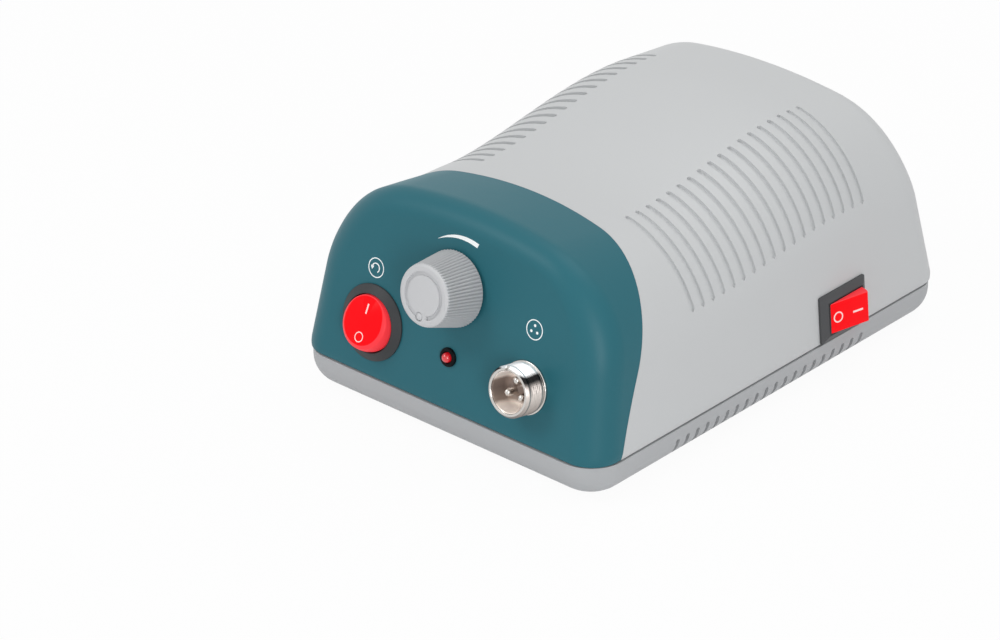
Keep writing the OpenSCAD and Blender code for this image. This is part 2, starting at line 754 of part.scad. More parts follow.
lamp_barrel_r = lamp_collar_d / 2 - 0.6;
lamp_collar_t = 1;
lamp_barrel_l = 6;
lamp_flange_r = lamp_d / 2 + 0.4;
lamp_lead_w = 0.5;
lamp_lead_l = 8;
module lamp_collar() {
    color(black) placed() on_front(lamp_x, lamp_v) difference() {
        union() {
            rod(lamp_collar_d / 2, 0, lamp_collar_t / 2);
            translate([0, 0, lamp_collar_t / 2])
                cylinder(r1 = lamp_collar_d / 2, r2 = lamp_barrel_r, h = lamp_collar_t / 2);
            rod(lamp_barrel_r, -lamp_barrel_l, 0.1);
        }
        rod(lamp_d / 2 + run_fit, -lamp_barrel_l - cut, lamp_collar_t + cut);
    }
}
module lamp() {
    color(red) placed() on_front(lamp_x, lamp_v) {
        rod(lamp_d / 2, -lamp_barrel_l - cut, lamp_collar_t);
        translate([0, 0, lamp_collar_t]) sphere(lamp_d / 2);
        rod(lamp_flange_r, -lamp_barrel_l - cut, -lamp_barrel_l);
        for (x = [-1, 1]) translate([x * lamp_d / 4, 0, 0])
            block(lamp_lead_w, lamp_lead_w, -lamp_barrel_l - cut - lamp_lead_l, -lamp_barrel_l - cut / 2);
    }
}

// Motor socket: threaded shell with a relief above its collar, moulded insert, three pins and a back nut

sock_neck_r = sock_d / 2 - 0.6;
sock_collar_r = sock_d / 2 + 0.7;
sock_collar_t = 1.2;
sock_chamfer = 0.8;
sock_relief = 0.5;
sock_relief_top = sock_collar_t + sock_relief;
sock_back = 9;
sock_floor = 0.5;
sock_pin_top = 5.5;
sock_pin_back = 6;
sock_nut_r = sock_d / 2 + 2.2;
sock_nut_t = 3;
key_w = 1.8;
key_turn = 30;
key_h = 2.6;
module socket_shell() {
    color(nickel) placed() on_front(sock_x, sock_v) difference() {
        union() {
            rod(sock_neck_r, -sock_back, sock_relief_top + cut);
            rod(sock_collar_r, 0, sock_collar_t);
            rod(sock_d / 2, sock_relief_top, sock_h - sock_chamfer);
            translate([0, 0, sock_h - sock_chamfer])
                cylinder(r1 = sock_d / 2, r2 = sock_d / 2 - sock_chamfer, h = sock_chamfer);
        }
        rod(sock_bore_d / 2, -sock_back - cut, sock_h + cut);
    }
}
module socket_insert() {
    color(dark) placed() on_front(sock_x, sock_v) difference() {
        union() {
            rod(sock_bore_d / 2 - run_fit, -sock_back, sock_floor);
            rotate([0, 0, key_turn]) translate([sock_bore_d / 4, 0, 0])
                block(sock_bore_d / 2 - 1.6, key_w, 0, sock_floor + key_h);
        }
        for (a = [90, 210, 330]) rotate([0, 0, a]) translate([sock_pin_pcd / 2, 0, 0])
            rod(sock_pin_d / 2 + run_fit, -sock_back - cut, sock_floor + key_h + cut);
    }
}
module socket_pins() {
    color(nickel) placed() on_front(sock_x, sock_v) for (a = [90, 210, 330])
        rotate([0, 0, a]) translate([sock_pin_pcd / 2, 0, 0]) {
            rod(sock_pin_d / 2, -sock_back - sock_pin_back, sock_pin_top - sock_pin_d / 2);
            translate([0, 0, sock_pin_top - sock_pin_d / 2]) sphere(sock_pin_d / 2);
        }
}
module socket_nut() {
    color(nickel) placed() on_front(sock_x, sock_v)
        tube(sock_nut_r, sock_neck_r + run_fit, -wall - sock_nut_t, -wall);
}

// Mains inlet and pedal jack in the rear wall

inlet_wall = 1.4;
inlet_rim = 3;
inlet_back = 2;
blade_w = 4;
blade_t = 2;
blade_l = 14;
blade_x = 7;
blade_v = 2;
module inlet_body() {
    color(black) placed() on_rear(inlet_x, inlet_v) difference() {
        union() {
            soft_block(inlet_w + 2 * inlet_rim, inlet_h + 2 * inlet_rim, inlet_wall, 0, bezel_t);
            block(inlet_w + 2 * inlet_wall, inlet_h + 2 * inlet_wall, -inlet_depth, cut / 2);
        }
        translate([0, 0, inlet_back - inlet_depth]) linear_extrude(inlet_depth + bezel_t)
            polygon([[-inlet_w / 2, -inlet_h / 2], [inlet_w / 2, -inlet_h / 2],
                [inlet_w / 2, inlet_h / 5], [inlet_w / 2 - inlet_h / 4, inlet_h / 2],
                [inlet_h / 4 - inlet_w / 2, inlet_h / 2], [-inlet_w / 2, inlet_h / 5]]);
        for (p = [[-blade_x, -blade_v], [0, blade_v], [blade_x, -blade_v]]) translate([p[0], p[1], 0])
            block(blade_t + 2 * run_fit, blade_w + 2 * run_fit,
                -inlet_depth - cut, inlet_back - inlet_depth + cut);
    }
}
module inlet_pins() {
    color(nickel) placed() on_rear(inlet_x, inlet_v)
        for (p = [[-blade_x, -blade_v], [0, blade_v], [blade_x, -blade_v]]) translate([p[0], p[1], 0])
            block(blade_t, blade_w, -inlet_depth - tab_l, inlet_back - inlet_depth + blade_l - inlet_back);
}
jack_bush_r = 4.8;
jack_body_w = 14;
jack_body_h = 13;
jack_body_l = 19;
jack_bush_l = 3.4;
jack_nut_r = 6.8;
jack_nut_t = 2.2;
jack_end = 2;
module jack_body() {
    color(black) placed() on_rear(jack_x, jack_v) difference() {
        union() {
            block(jack_body_w, jack_body_h, -wall - jack_body_l, -wall);
            rod(jack_bush_r, -wall - cut, jack_bush_l);
        }
        rod(jack_bore_d / 2, -wall - jack_body_l + jack_end, jack_bush_l + cut);
    }
}
module jack_nut() {
    color(nickel) placed() on_rear(jack_x, jack_v) tube(jack_nut_r, jack_bush_r + run_fit, 0, jack_nut_t);
}

// Transformer: laminated core, wound bobbin, steel strap and its screws

leg = core_w / 3;
window_w = core_w / 6;
window_h = core_h - core_w / 3;
coil_gap = 0.3;
coil_over = 8;
bobbin_t = 1.5;
module core() {
    color(steel) placed() translate([core_x, core_y, core_z]) difference() {
        block(core_w, core_stack, 0, core_h);
        for (s = [-1, 1]) translate([s * (leg / 2 + window_w / 2), 0, 0])
            block(window_w, core_stack + 2 * cut, core_h / 2 - window_h / 2, core_h / 2 + window_h / 2);
    }
}
module coil() {
    w = leg + 2 * window_w - 2 * coil_gap;
    l = core_stack + 2 * coil_over;
    h = window_h - 2 * coil_gap;
    lo = core_h / 2 - h / 2;
    color(copper) placed() translate([core_x, core_y, core_z]) difference() {
        union() {
            soft_block(w, l, coil_over / 2, lo, lo + bobbin_t);
            soft_block(w - bobbin_t, l - bobbin_t, coil_over / 2, lo, lo + h);
            soft_block(w, l, coil_over / 2, lo + h - bobbin_t, lo + h);
        }
        block(leg + 2 * coil_gap, core_stack + 2 * coil_gap, 0, core_h);
    }
}
module core_strap() {
    outer_w = core_w + 2 * strap_t;
    color(nickel) placed() translate([core_x, core_y, core_z]) difference() {
        union() {
            block(outer_w, strap_w, 0, core_h + strap_t);
            block(outer_w + 2 * strap_foot, strap_w, 0, strap_t);
        }
        block(core_w, strap_w + 2 * cut, -cut, core_h);
        for (x = [-1, 1], y = [-1, 1])
            translate([x * strap_hole_x, y * strap_hole_y, 0]) rod(screw_r + hole_fit, -cut, strap_t + cut);
    }
}
module strap_screws() {
    color(steel) placed() for (p = strap_spots) translate([p[0], p[1], core_z]) {
        rod(screw_r, -pad_h + 0.2, strap_t + cut / 2);
        rod(screw_head_r, strap_t, strap_t + screw_head_h);
    }
}

// Control board and what stands on it

cap_r = 8;
cap_h = 25;
cap_spots = [[-27, 12], [-9, 12]];
sink_w = 32;
sink_l = 14;
sink_h = 24;
sink_back = 4;
sink_fins = 7;
sink_spot = [16, 19];
module on_board(x, y) {
    translate([x, board_y + y, board_top]) children();
}
module board() {
    color(green) placed() difference() {
        translate([0, board_y, 0]) block(board_w, board_l, board_z, board_top);
        for (p = board_spots) translate([p[0], p[1], 0])
            rod(board_screw_r + hole_fit, board_z - cut, board_top + cut);
    }
}
module board_screws() {
    color(steel) placed() for (p = board_spots) translate([p[0], p[1], board_top]) {
        rod(board_screw_r, -board_screw_l, cut / 2);
        rod(board_screw_head_r, 0, screw_head_h);
    }
}
module capacitors() {
    color(black) placed() for (p = cap_spots) on_board(p[0], p[1]) {
        rod(cap_r, 0, cap_h);
    }
}
rectifier_spot = [-24, -10];
rectifier_w = 19;
rectifier_t = 5;
rectifier_h = 13;
module rectifier() {
    color(black) placed() on_board(rectifier_spot[0], rectifier_spot[1])
        block(rectifier_w, rectifier_t, 0, rectifier_h);
}
module heat_sink() {
    color(steel) placed() on_board(sink_spot[0], sink_spot[1]) {
        translate([0, -sink_l / 2 + sink_back / 2, 0]) block(sink_w, sink_back, 0, sink_h);
        for (i = [0:sink_fins - 1])
            translate([(i / (sink_fins - 1) - 0.5) * (sink_w - rib_t), 0, 0]) block(rib_t, sink_l, 0, sink_h);
    }
}
transistor_t = 4.6;
transistor_w = 10;
transistor_h = 15;
transistor_lift = 4;
transistor_x = 8;
transistor_hole = 3;
lead_pitch = 2.54;
lead_w = 1;
lead_t = 0.6;
module transistors() {
    color(black) placed() for (s = [-1, 1])
        on_board(sink_spot[0] + s * transistor_x, sink_spot[1] - sink_l / 2 - transistor_t / 2) {
            difference() {
                block(transistor_w, transistor_t, transistor_lift, transistor_lift + transistor_h);
                translate([0, 0, transistor_lift + transistor_h - transistor_hole]) rotate([90, 0, 0])
                    rod(screw_r + hole_fit, -transistor_t, transistor_t);
            }
            for (x = [-1, 0, 1]) translate([x * lead_pitch, 0, 0])
                block(lead_w, lead_t, 0, transistor_lift + cut / 2);
        }
}
module sink_screws() {
    color(steel) placed() for (s = [-1, 1])
        on_board(sink_spot[0] + s * transistor_x, sink_spot[1] - sink_l / 2 - transistor_t)
            translate([0, 0, transistor_lift + transistor_h - transistor_hole]) rotate([90, 0, 0]) {
                rod(screw_head_r, 0, screw_head_h);
                rod(screw_r, -transistor_t, cut / 2);
            }
}
relay_spot = [26, -8];
relay_w = 19;
relay_l = 15.5;
relay_h = 15.5;
module relay() {
    color(blue) placed() on_board(relay_spot[0], relay_spot[1]) block(relay_w, relay_l, 0, relay_h);
}
fuse_r = 2.6;
fuse_l = 20;
fuse_z = 6;
fuse_spot = [-20, -21];
fuse_cap_l = 5;
module fuse() {
    color(nickel) placed() on_board(fuse_spot[0], fuse_spot[1]) translate([0, 0, fuse_z])
        rotate([0, 90, 0]) rod(fuse_r, -fuse_l / 2, fuse_l / 2);
}
module fuse_clips() {
    color(brass) placed() for (s = [-1, 1])
        on_board(fuse_spot[0] + s * (fuse_l - fuse_cap_l) / 2, fuse_spot[1]) difference() {
            block(fuse_cap_l, 2 * fuse_r + 1.6, 0, fuse_z + fuse_r / 2);
            translate([0, 0, fuse_z]) rotate([0, 90, 0]) rod(fuse_r + run_fit, -fuse_cap_l, fuse_cap_l);
            block(2 * fuse_cap_l, 2 * fuse_r - 1, fuse_z, fuse_z + 2 * fuse_r);
        }
}
block_ways = 5;
block_pitch = 5;
block_l = 8;
block_h = 10;
module terminal_block() {
    color([0.15, 0.5, 0.3]) placed() on_board(16, -board_l / 2 + block_l / 2 + 1) difference() {
        block(block_ways * block_pitch, block_l, 0, block_h);
        for (i = [0:block_ways - 1])
            translate([(i - (block_ways - 1) / 2) * block_pitch, 0, 0]) {
                rod(1.6, block_h - 3, block_h + cut);
                translate([0, -block_l / 2, 0]) block(2.6, 2 * rib_t, 2, 5);
            }
    }
}

base_tray();
top_cover();
front_cover();
feet();
case_screws();
direction_body();
direction_rocker();
direction_tabs();
power_body();
power_rocker();
power_tabs();
speed_knob();
pot_shaft();
pot_body();
pot_washer();
pot_nut();
pot_tabs();
lamp_collar();
lamp();
socket_shell();
socket_insert();
socket_pins();
socket_nut();
inlet_body();
inlet_pins();
jack_body();
jack_nut();
core();
coil();
core_strap();
strap_screws();
board();
board_screws();
capacitors();
rectifier();
heat_sink();
transistors();
sink_screws();
relay();
fuse();
fuse_clips();
terminal_block();
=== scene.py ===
"""Looks of a bench micromotor's control box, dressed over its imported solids."""

import logging
import math
from dataclasses import dataclass
from enum import Enum
from typing import Callable, Optional, Sequence

import bmesh
import bpy
from mathutils import Matrix, Vector


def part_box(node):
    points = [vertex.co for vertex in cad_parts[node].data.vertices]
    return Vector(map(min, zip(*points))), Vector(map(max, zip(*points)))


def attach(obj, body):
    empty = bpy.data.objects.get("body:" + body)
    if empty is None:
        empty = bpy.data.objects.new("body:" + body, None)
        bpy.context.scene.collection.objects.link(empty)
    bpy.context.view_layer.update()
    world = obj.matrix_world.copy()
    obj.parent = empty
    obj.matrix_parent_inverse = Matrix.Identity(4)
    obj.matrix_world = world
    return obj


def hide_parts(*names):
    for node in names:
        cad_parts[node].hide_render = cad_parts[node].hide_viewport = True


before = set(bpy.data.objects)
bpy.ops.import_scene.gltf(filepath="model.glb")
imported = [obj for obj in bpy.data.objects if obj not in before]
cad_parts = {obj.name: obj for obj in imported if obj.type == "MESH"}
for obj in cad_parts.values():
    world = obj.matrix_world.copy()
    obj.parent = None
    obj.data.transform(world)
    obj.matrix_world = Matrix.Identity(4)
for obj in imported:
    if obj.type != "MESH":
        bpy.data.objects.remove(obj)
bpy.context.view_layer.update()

LOG = logging.getLogger("control_box")
MM = 0.001
MARK_LIFT = 0.04
MARK_SINK = 0.2
Point2 = tuple[float, float]
Point3 = tuple[float, float, float]
Colour = tuple[float, float, float, float]


class Body(Enum):
    """The bodies that pieces ride on."""

    CASE = "case"
    KNOB = "knob"
    DIRECTION = "direction_rocker"
    POWER = "power_rocker"


class Ray(Enum):
    """Kinds of ray that see the backdrop as plain white."""

    CAMERA = "Is Camera Ray"
    GLOSSY = "Is Glossy Ray"
    THROUGH = "Is Transmission Ray"


def paint(code: str) -> Colour:
    """Turns a written colour into the linear values a shader takes.

    Args:
        code: Six hexadecimal digits, as written in a paint chart.

    Returns:
        Linear red, green, blue and alpha.
    """
    values = [int(code[i:i + 2], 16) / 255 for i in (0, 2, 4)]
    linear = [v / 12.92 if v <= 0.04045 else ((v + 0.055) / 1.055) ** 2.4 for v in values]
    return (linear[0], linear[1], linear[2], 1.0)


def smooth(t: float) -> float:
    """Smoothstep of t, held to 0 and 1 outside that range."""
    u = max(0.0, min(1.0, t))
    return u * u * (3 - 2 * u)


def mix(a: float, b: float, t: float) -> float:
    """Value at t on the way from a to b."""
    return a + (b - a) * t


# Shader work


class Wire:
    """A shader value that takes part in Python arithmetic."""

    def __init__(self, bench: "Bench", socket: bpy.types.NodeSocket) -> None:
        """Wraps a socket of a bench's tree."""
        self.bench = bench
        self.socket = socket

    def _math(self, operation: str, first: object, second: object) -> "Wire":
        """Adds one Math node and returns its result."""
        return self.bench.node("ShaderNodeMath", {"operation": operation}, {0: first, 1: second})

    def __add__(self, other: object) -> "Wire":
        """Sum with a number or another wire."""
        return self._math("ADD", self, other)

    __radd__ = __add__

    def __sub__(self, other: object) -> "Wire":
        """Difference from a number or another wire."""
        return self._math("SUBTRACT", self, other)

    def __rsub__(self, other: object) -> "Wire":
        """Difference of a number and this wire."""
        return self._math("SUBTRACT", other, self)

    def __mul__(self, other: object) -> "Wire":
        """Product with a number or another wire."""
        return self._math("MULTIPLY", self, other)

    __rmul__ = __mul__

    def clipped(self) -> "Wire":
        """This wire held between 0 and 1."""
        return self.bench.node("ShaderNodeClamp", {}, {"Value": self})


class Bench:
    """A material's node tree and the ways to add to it."""

    def __init__(self, tree: bpy.types.NodeTree) -> None:
        """Starts from an empty tree."""
        self.tree = tree
        tree.nodes.clear()

    def node(self, kind: str, settings: dict, sockets: dict, output: object = 0) -> Wire:
        """Adds a node, sets it up and feeds its sockets.

        Args:
            kind: The node's type.
            settings: Properties to set first; "stops" fills a colour ramp.
            sockets: Values or wires by socket name or number.
            output: Which output to return.

        Returns:
            The chosen output as a wire.
        """
        made = self.tree.nodes.new(kind)
        for key, value in settings.items():
            if key == "stops":
                elements = made.color_ramp.elements
                while len(elements) < len(value):
                    elements.new(0.5)
                for element, (place, colour) in zip(elements, value):
                    element.position, element.color = place, colour
            else:
                setattr(made, key, value)
        for key, value in sockets.items():
            if isinstance(value, Wire):
                self.tree.links.new(value.socket, made.inputs[key])
            else:
                made.inputs[key].default_value = value
        return Wire(self, made.outputs[output])

    def place(self, stretch: Point3 = (1, 1, 1)) -> Wire:
        """Object coordinates, stretched for a pattern."""
        where = self.node("ShaderNodeTexCoord", {}, {}, "Object")
        return self.node("ShaderNodeMapping", {}, {"Vector": where, "Scale": stretch})

    def noise(self, scale: float, detail: float = 2.0, stretch: Point3 = (1, 1, 1)) -> Wire:
        """Soft noise from 0 to 1 with so many features a metre."""
        return self.node("ShaderNodeTexNoise", {}, {"Vector": self.place(stretch), "Scale": scale,
                                                    "Detail": detail, "Roughness": 0.55}, "Fac")

    def tint(self, factor: Wire, low: Colour, high: Colour) -> Wire:
        """Colour between two, by a factor."""
        return self.node("ShaderNodeMix", {"data_type": "RGBA"}, {0: factor, 6: low, 7: high}, 2)

    def bump(self, height: Wire, depth: float) -> Wire:
        """Normal of a relief of so many millimetres."""
        return self.node("ShaderNodeBump", {}, {"Height": height, "Distance": depth * MM, "Strength": 1.0})

    def close(self, shader: Wire) -> None:
        """Ends the tree in its output."""
        out = self.tree.nodes.new("ShaderNodeOutputMaterial")
        self.tree.links.new(shader.socket, out.inputs["Surface"])


def started(name: str) -> tuple[bpy.types.Material, Bench]:
    """A new material and the bench of its empty tree."""
    made = bpy.data.materials.new(name)
    made.use_nodes = True
    return made, Bench(made.node_tree)


def shade_of(colour: Colour, gain: float) -> Colour:
    """A colour made lighter or darker."""
    return (min(1.0, colour[0] * gain), min(1.0, colour[1] * gain), min(1.0, colour[2] * gain), colour[3])


@dataclass(frozen=True)
class Moulding:
    """A moulded or painted plastic: fine grain, slight flow marks, satin gloss.

    Attributes:
        name: Name of the material.
        colour: Written colour.
        roughness: Mean roughness.
        grain: Size of the surface grain in millimetres.
        relief: Depth of the grain in millimetres.
        flow: Strength of the colour's drift.
        coat: Clear coat's weight.
        specular: Strength of the mirror reflection.
        glow: Share of its own colour that the piece gives off, a painted glow, since no moulded part is a lamp.
    """

    name: str
    colour: str
    roughness: float = 0.45
    grain: float = 0.45
    relief: float = 0.006
    flow: float = 0.03
    coat: float = 0.0
    specular: float = 0.5
    glow: float = 0.0

    def material(self) -> bpy.types.Material:
        """Builds the material."""
        made, bench = started(self.name)
        base = paint(self.colour)
        drift = bench.noise(35.0, 3.0)
        grain = bench.noise(1.0 / (self.grain * MM), 2.0)
        colour = bench.tint(drift * 0.7 + grain * 0.3, shade_of(base, 1 - self.flow), shade_of(base, 1 + self.flow))
        rough = drift * 0.08 + grain * 0.06 + (self.roughness - 0.07)
        sockets = {"Base Color": colour, "Roughness": rough, "Coat Weight": self.coat,
                   "Coat Roughness": 0.12, "Specular IOR Level": self.specular,
                   "Normal": bench.bump(grain, self.relief)}
        # Emission here is painted light on a part that is no lamp.
        if self.glow:
            sockets.update({"Emission Color": base, "Emission Strength": self.glow})
        bench.close(bench.node("ShaderNodeBsdfPrincipled", {}, sockets))
        return made


@dataclass(frozen=True)
class Plating:
    """Bare or plated metal with turning marks and faint smears.

    Attributes:
        name: Name of the material.
        colour: Written colour.
        roughness: Mean roughness.
        smear: How much the roughness wanders.
        scratch: Spacing of the fine marks in millimetres.
    """

    name: str
    colour: str
    roughness: float = 0.18
    smear: float = 0.1
    scratch: float = 0.25

    def material(self) -> bpy.types.Material:
        """Builds the material."""
        made, bench = started(self.name)
        base = paint(self.colour)
        smear = bench.noise(180.0, 4.0)
        marks = bench.noise(1.0 / (self.scratch * MM), 2.0, (1, 1, 0.15))
        colour = bench.tint(smear, shade_of(base, 0.92), shade_of(base, 1.04))
        rough = smear * self.smear + marks * 0.05 + (self.roughness - self.smear / 2)
        bench.close(bench.node("ShaderNodeBsdfPrincipled", {}, {
            "Base Color": colour, "Metallic": 1.0, "Roughness": rough.clipped(),
            "Normal": bench.bump(marks, 0.002)}))
        return made


@dataclass(frozen=True)
class Lens:
    """Clear coloured plastic of a lamp.

    Attributes:
        name: Name of the material.
        colour: Written colour.
        glow: Strength of the light that it gives off.
    """

    name: str
    colour: str
    glow: float = 0.25

    def material(self) -> bpy.types.Material:
        """Builds the material."""
        made, bench = started(self.name)
        base = paint(self.colour)
        cloud = bench.noise(900.0, 2.0)
        bench.close(bench.node("ShaderNodeBsdfPrincipled", {}, {
            "Base Color": bench.tint(cloud, shade_of(base, 0.8), shade_of(base, 1.15)),
            "Roughness": cloud * 0.04 + 0.05, "Coat Weight": 1.0, "Coat Roughness": 0.03,
            "Emission Color": base, "Emission Strength": self.glow}))
        return made


@dataclass(frozen=True)
class Banded:
    """A material in bands, such as laminations, wound wire or tape.

    Attributes:
        name: Name of the material.
        low: Written colour of the grooves.
        high: Written colour of the bands.
        pitch: Spacing of the bands in millimetres.
        axis: X, Y or Z, the way across the bands.
        metallic: Share of metal.
        roughness: Mean roughness.
    """

    name: str
    low: str
    high: str
    pitch: float
    axis: str = "Y"
    metallic: float = 0.0
    roughness: float = 0.5

    def material(self) -> bpy.types.Material:
        """Builds the material."""
        made, bench = started(self.name)
        waves_a_metre = 1.0 / (self.pitch * MM) / 3.1831
        bands = bench.node("ShaderNodeTexWave", {"bands_direction": self.axis}, {
            "Vector": bench.place(), "Scale": waves_a_metre, "Distortion": 0.3, "Detail": 1.0}, "Fac")
        drift = bench.noise(120.0, 3.0)
        colour = bench.tint((bands * 0.8 + drift * 0.2).clipped(), paint(self.low), paint(self.high))
        bench.close(bench.node("ShaderNodeBsdfPrincipled", {}, {
            "Base Color": colour, "Metallic": self.metallic, "Roughness": drift * 0.15 + (self.roughness - 0.07),
            "Normal": bench.bump(bands, 0.08)}))
        return made


@dataclass(frozen=True)
class PaintedReflectionMetal:
    """Bright turned metal with reflections painted on in belts across its height, and a painted glow.

    Attributes:
        name: Name of the material.
        stops: Share of the height, from the foot up, and written colour of each painted reflection belt.
        middle: Height of the middle along the upward way, in metres.
        up: Upward way in the shared frame.
        reach: Half the height in metres.
        metallic: Share of metal.
        roughness: Mean roughness.
        glow: Share of its own colour that the piece gives off, a painted glow on metal that is no lamp.
    """

    name: str
    stops: Sequence[tuple[float, str]]
    middle: float
    up: Point3
    reach: float
    metallic: float = 0.7
    roughness: float = 0.3
    glow: float = 0.12

    def material(self) -> bpy.types.Material:
        """Builds the material."""
        made, bench = started(self.name)
        height = bench.node("ShaderNodeVectorMath", {"operation": "DOT_PRODUCT"},
                            {0: bench.place(), 1: self.up}, "Value")
        share = (height - self.middle) * (0.5 / self.reach) + 0.5
        smear = bench.noise(260.0, 3.0)
        # Painted reflections: light and dark belts across the height stand in for what the metal reflects.
        belts = bench.node("ShaderNodeValToRGB", {"stops": [(t, paint(code)) for t, code in self.stops]},
                           {"Fac": (share + smear * 0.06 - 0.03).clipped()})
        # The belt colour also glows: painted light.
        bench.close(bench.node("ShaderNodeBsdfPrincipled", {}, {
            "Base Color": belts, "Metallic": self.metallic, "Roughness": smear * 0.1 + (self.roughness - 0.05),
            "Emission Color": belts, "Emission Strength": self.glow, "Normal": bench.bump(smear, 0.003)}))
        return made


# Finishes by short name, and the finish of each solid that shows as it is

FINISHES = {
    "cover": Moulding("cover_grey", "cccecf", 0.44, 0.5, 0.004, 0.012, specular=0.35),
    "base": Moulding("base_grey", "b6b8ba", 0.5, 0.5, 0.006, 0.015, specular=0.3),
    "teal": Moulding("teal_paint", "2b6975", 0.42, 0.6, 0.003, 0.03, specular=0.2),
    "dark": Moulding("switch_grey", "393b3d", 0.5, 0.4, 0.006, 0.05, specular=0.3),
    "frame": Moulding("frame_grey", "4d4e50", 0.5, 0.4, 0.006, 0.05, specular=0.3),
    "black": Moulding("black_plastic", "17181a", 0.35, 0.4, 0.005, 0.08),
    "jet": Moulding("collar_black", "0b0e11", 0.55, 0.4, 0.005, 0.08, specular=0.1),
    # The paddle red glows: painted light, as the paddles are no lamps.
    "red": Moulding("paddle_red", "f50310", 0.34, 0.8, 0.002, 0.02, specular=0.12, glow=0.22),
    # Lighter red for the paddles' side and bevel faces: painted light, as if the sides caught more light; it glows too.
    "red_painted_lit_side": Moulding("paddle_red_edge", "fb3a42", 0.4, 0.8, 0.002, 0.02, specular=0.2, glow=0.22),
    # The printed marks glow a little: painted brightness, as print is no lamp.
    "mark": Moulding("mark_white", "f4f8f8", 0.55, 0.3, 0.002, 0.01, specular=0.3, glow=0.12),
    "mark_pink": Moulding("mark_on_red", "ffdcda", 0.55, 0.3, 0.002, 0.01, specular=0.3, glow=0.1),
    "knob": Moulding("knob_grey", "cbccce", 0.48, 0.4, 0.005, 0.015, specular=0.35),
    # Darker copy of the knob grey for the fluted side: painted shade.
    "flutes": Moulding("knob_flutes", "bcbdbf", 0.5, 0.4, 0.005, 0.015, specular=0.3),
    "rubber": Moulding("foot_rubber", "1c1c1d", 0.8, 0.4, 0.02, 0.1),
    "green": Moulding("board_green", "1c5a36", 0.35, 0.8, 0.004, 0.12, coat=0.3),
    "blue": Moulding("relay_blue", "2b55a0", 0.45, 0.4, 0.006, 0.05),
    "terminal": Moulding("terminal_green", "2f8a56", 0.45, 0.4, 0.006, 0.05),
    "nickel": Plating("polished_nickel", "cfccc8", 0.16, 0.08),
    "steel": Plating("zinc_steel", "b9bcbf", 0.38, 0.15),
    "brass": Plating("tinned_brass", "cbb27a", 0.3, 0.12),
    "alloy": Plating("bare_alloy", "c9cbce", 0.42, 0.12),
    "lamp": Lens("lamp_red", "c8141e", 0.35),
    "glass": Lens("fuse_glass", "cfd6d6", 0.0),
    "iron": Banded("laminations", "3a3b3d", "77797c", 0.5, "Y", 0.8, 0.55),
    "tape": Banded("winding_tape", "b88a2c", "d9ac4a", 6.0, "Z", 0.0, 0.4),
}

PLAIN_NODES = {
    "feet": "rubber", "case_screws": "steel", "direction_tabs": "brass", "power_tabs": "brass",
    "pot_shaft": "alloy", "pot_body": "steel", "pot_washer": "steel", "pot_nut": "nickel", "pot_tabs": "brass",
    "socket_nut": "nickel", "inlet_body": "black", "inlet_pins": "nickel", "jack_body": "black",
    "jack_nut": "nickel", "core": "iron", "coil": "tape", "core_strap": "steel", "strap_screws": "steel",
    "board": "green", "board_screws": "steel", "capacitors": "black", "rectifier": "black", "heat_sink": "alloy",
    "transistors": "black", "sink_screws": "steel", "relay": "blue", "fuse": "glass", "fuse_clips": "brass",
    "terminal_block": "terminal",
}


class Paints:
    """The materials, each made once."""

    def __init__(self) -> None:
        """Starts with none made."""
        self.made: dict[str, bpy.types.Material] = {}

    def mix(self, finish: PaintedReflectionMetal) -> str:
        """Makes a finish that belongs to one place, and returns its name."""
        self.made[finish.name] = finish.material()
        return finish.name

    def get(self, name: str) -> bpy.types.Material:
        """The material of a finish, made on first use."""
        if name not in self.made:
            self.made[name] = FINISHES[name].material()
        return self.made[name]


# Mesh work


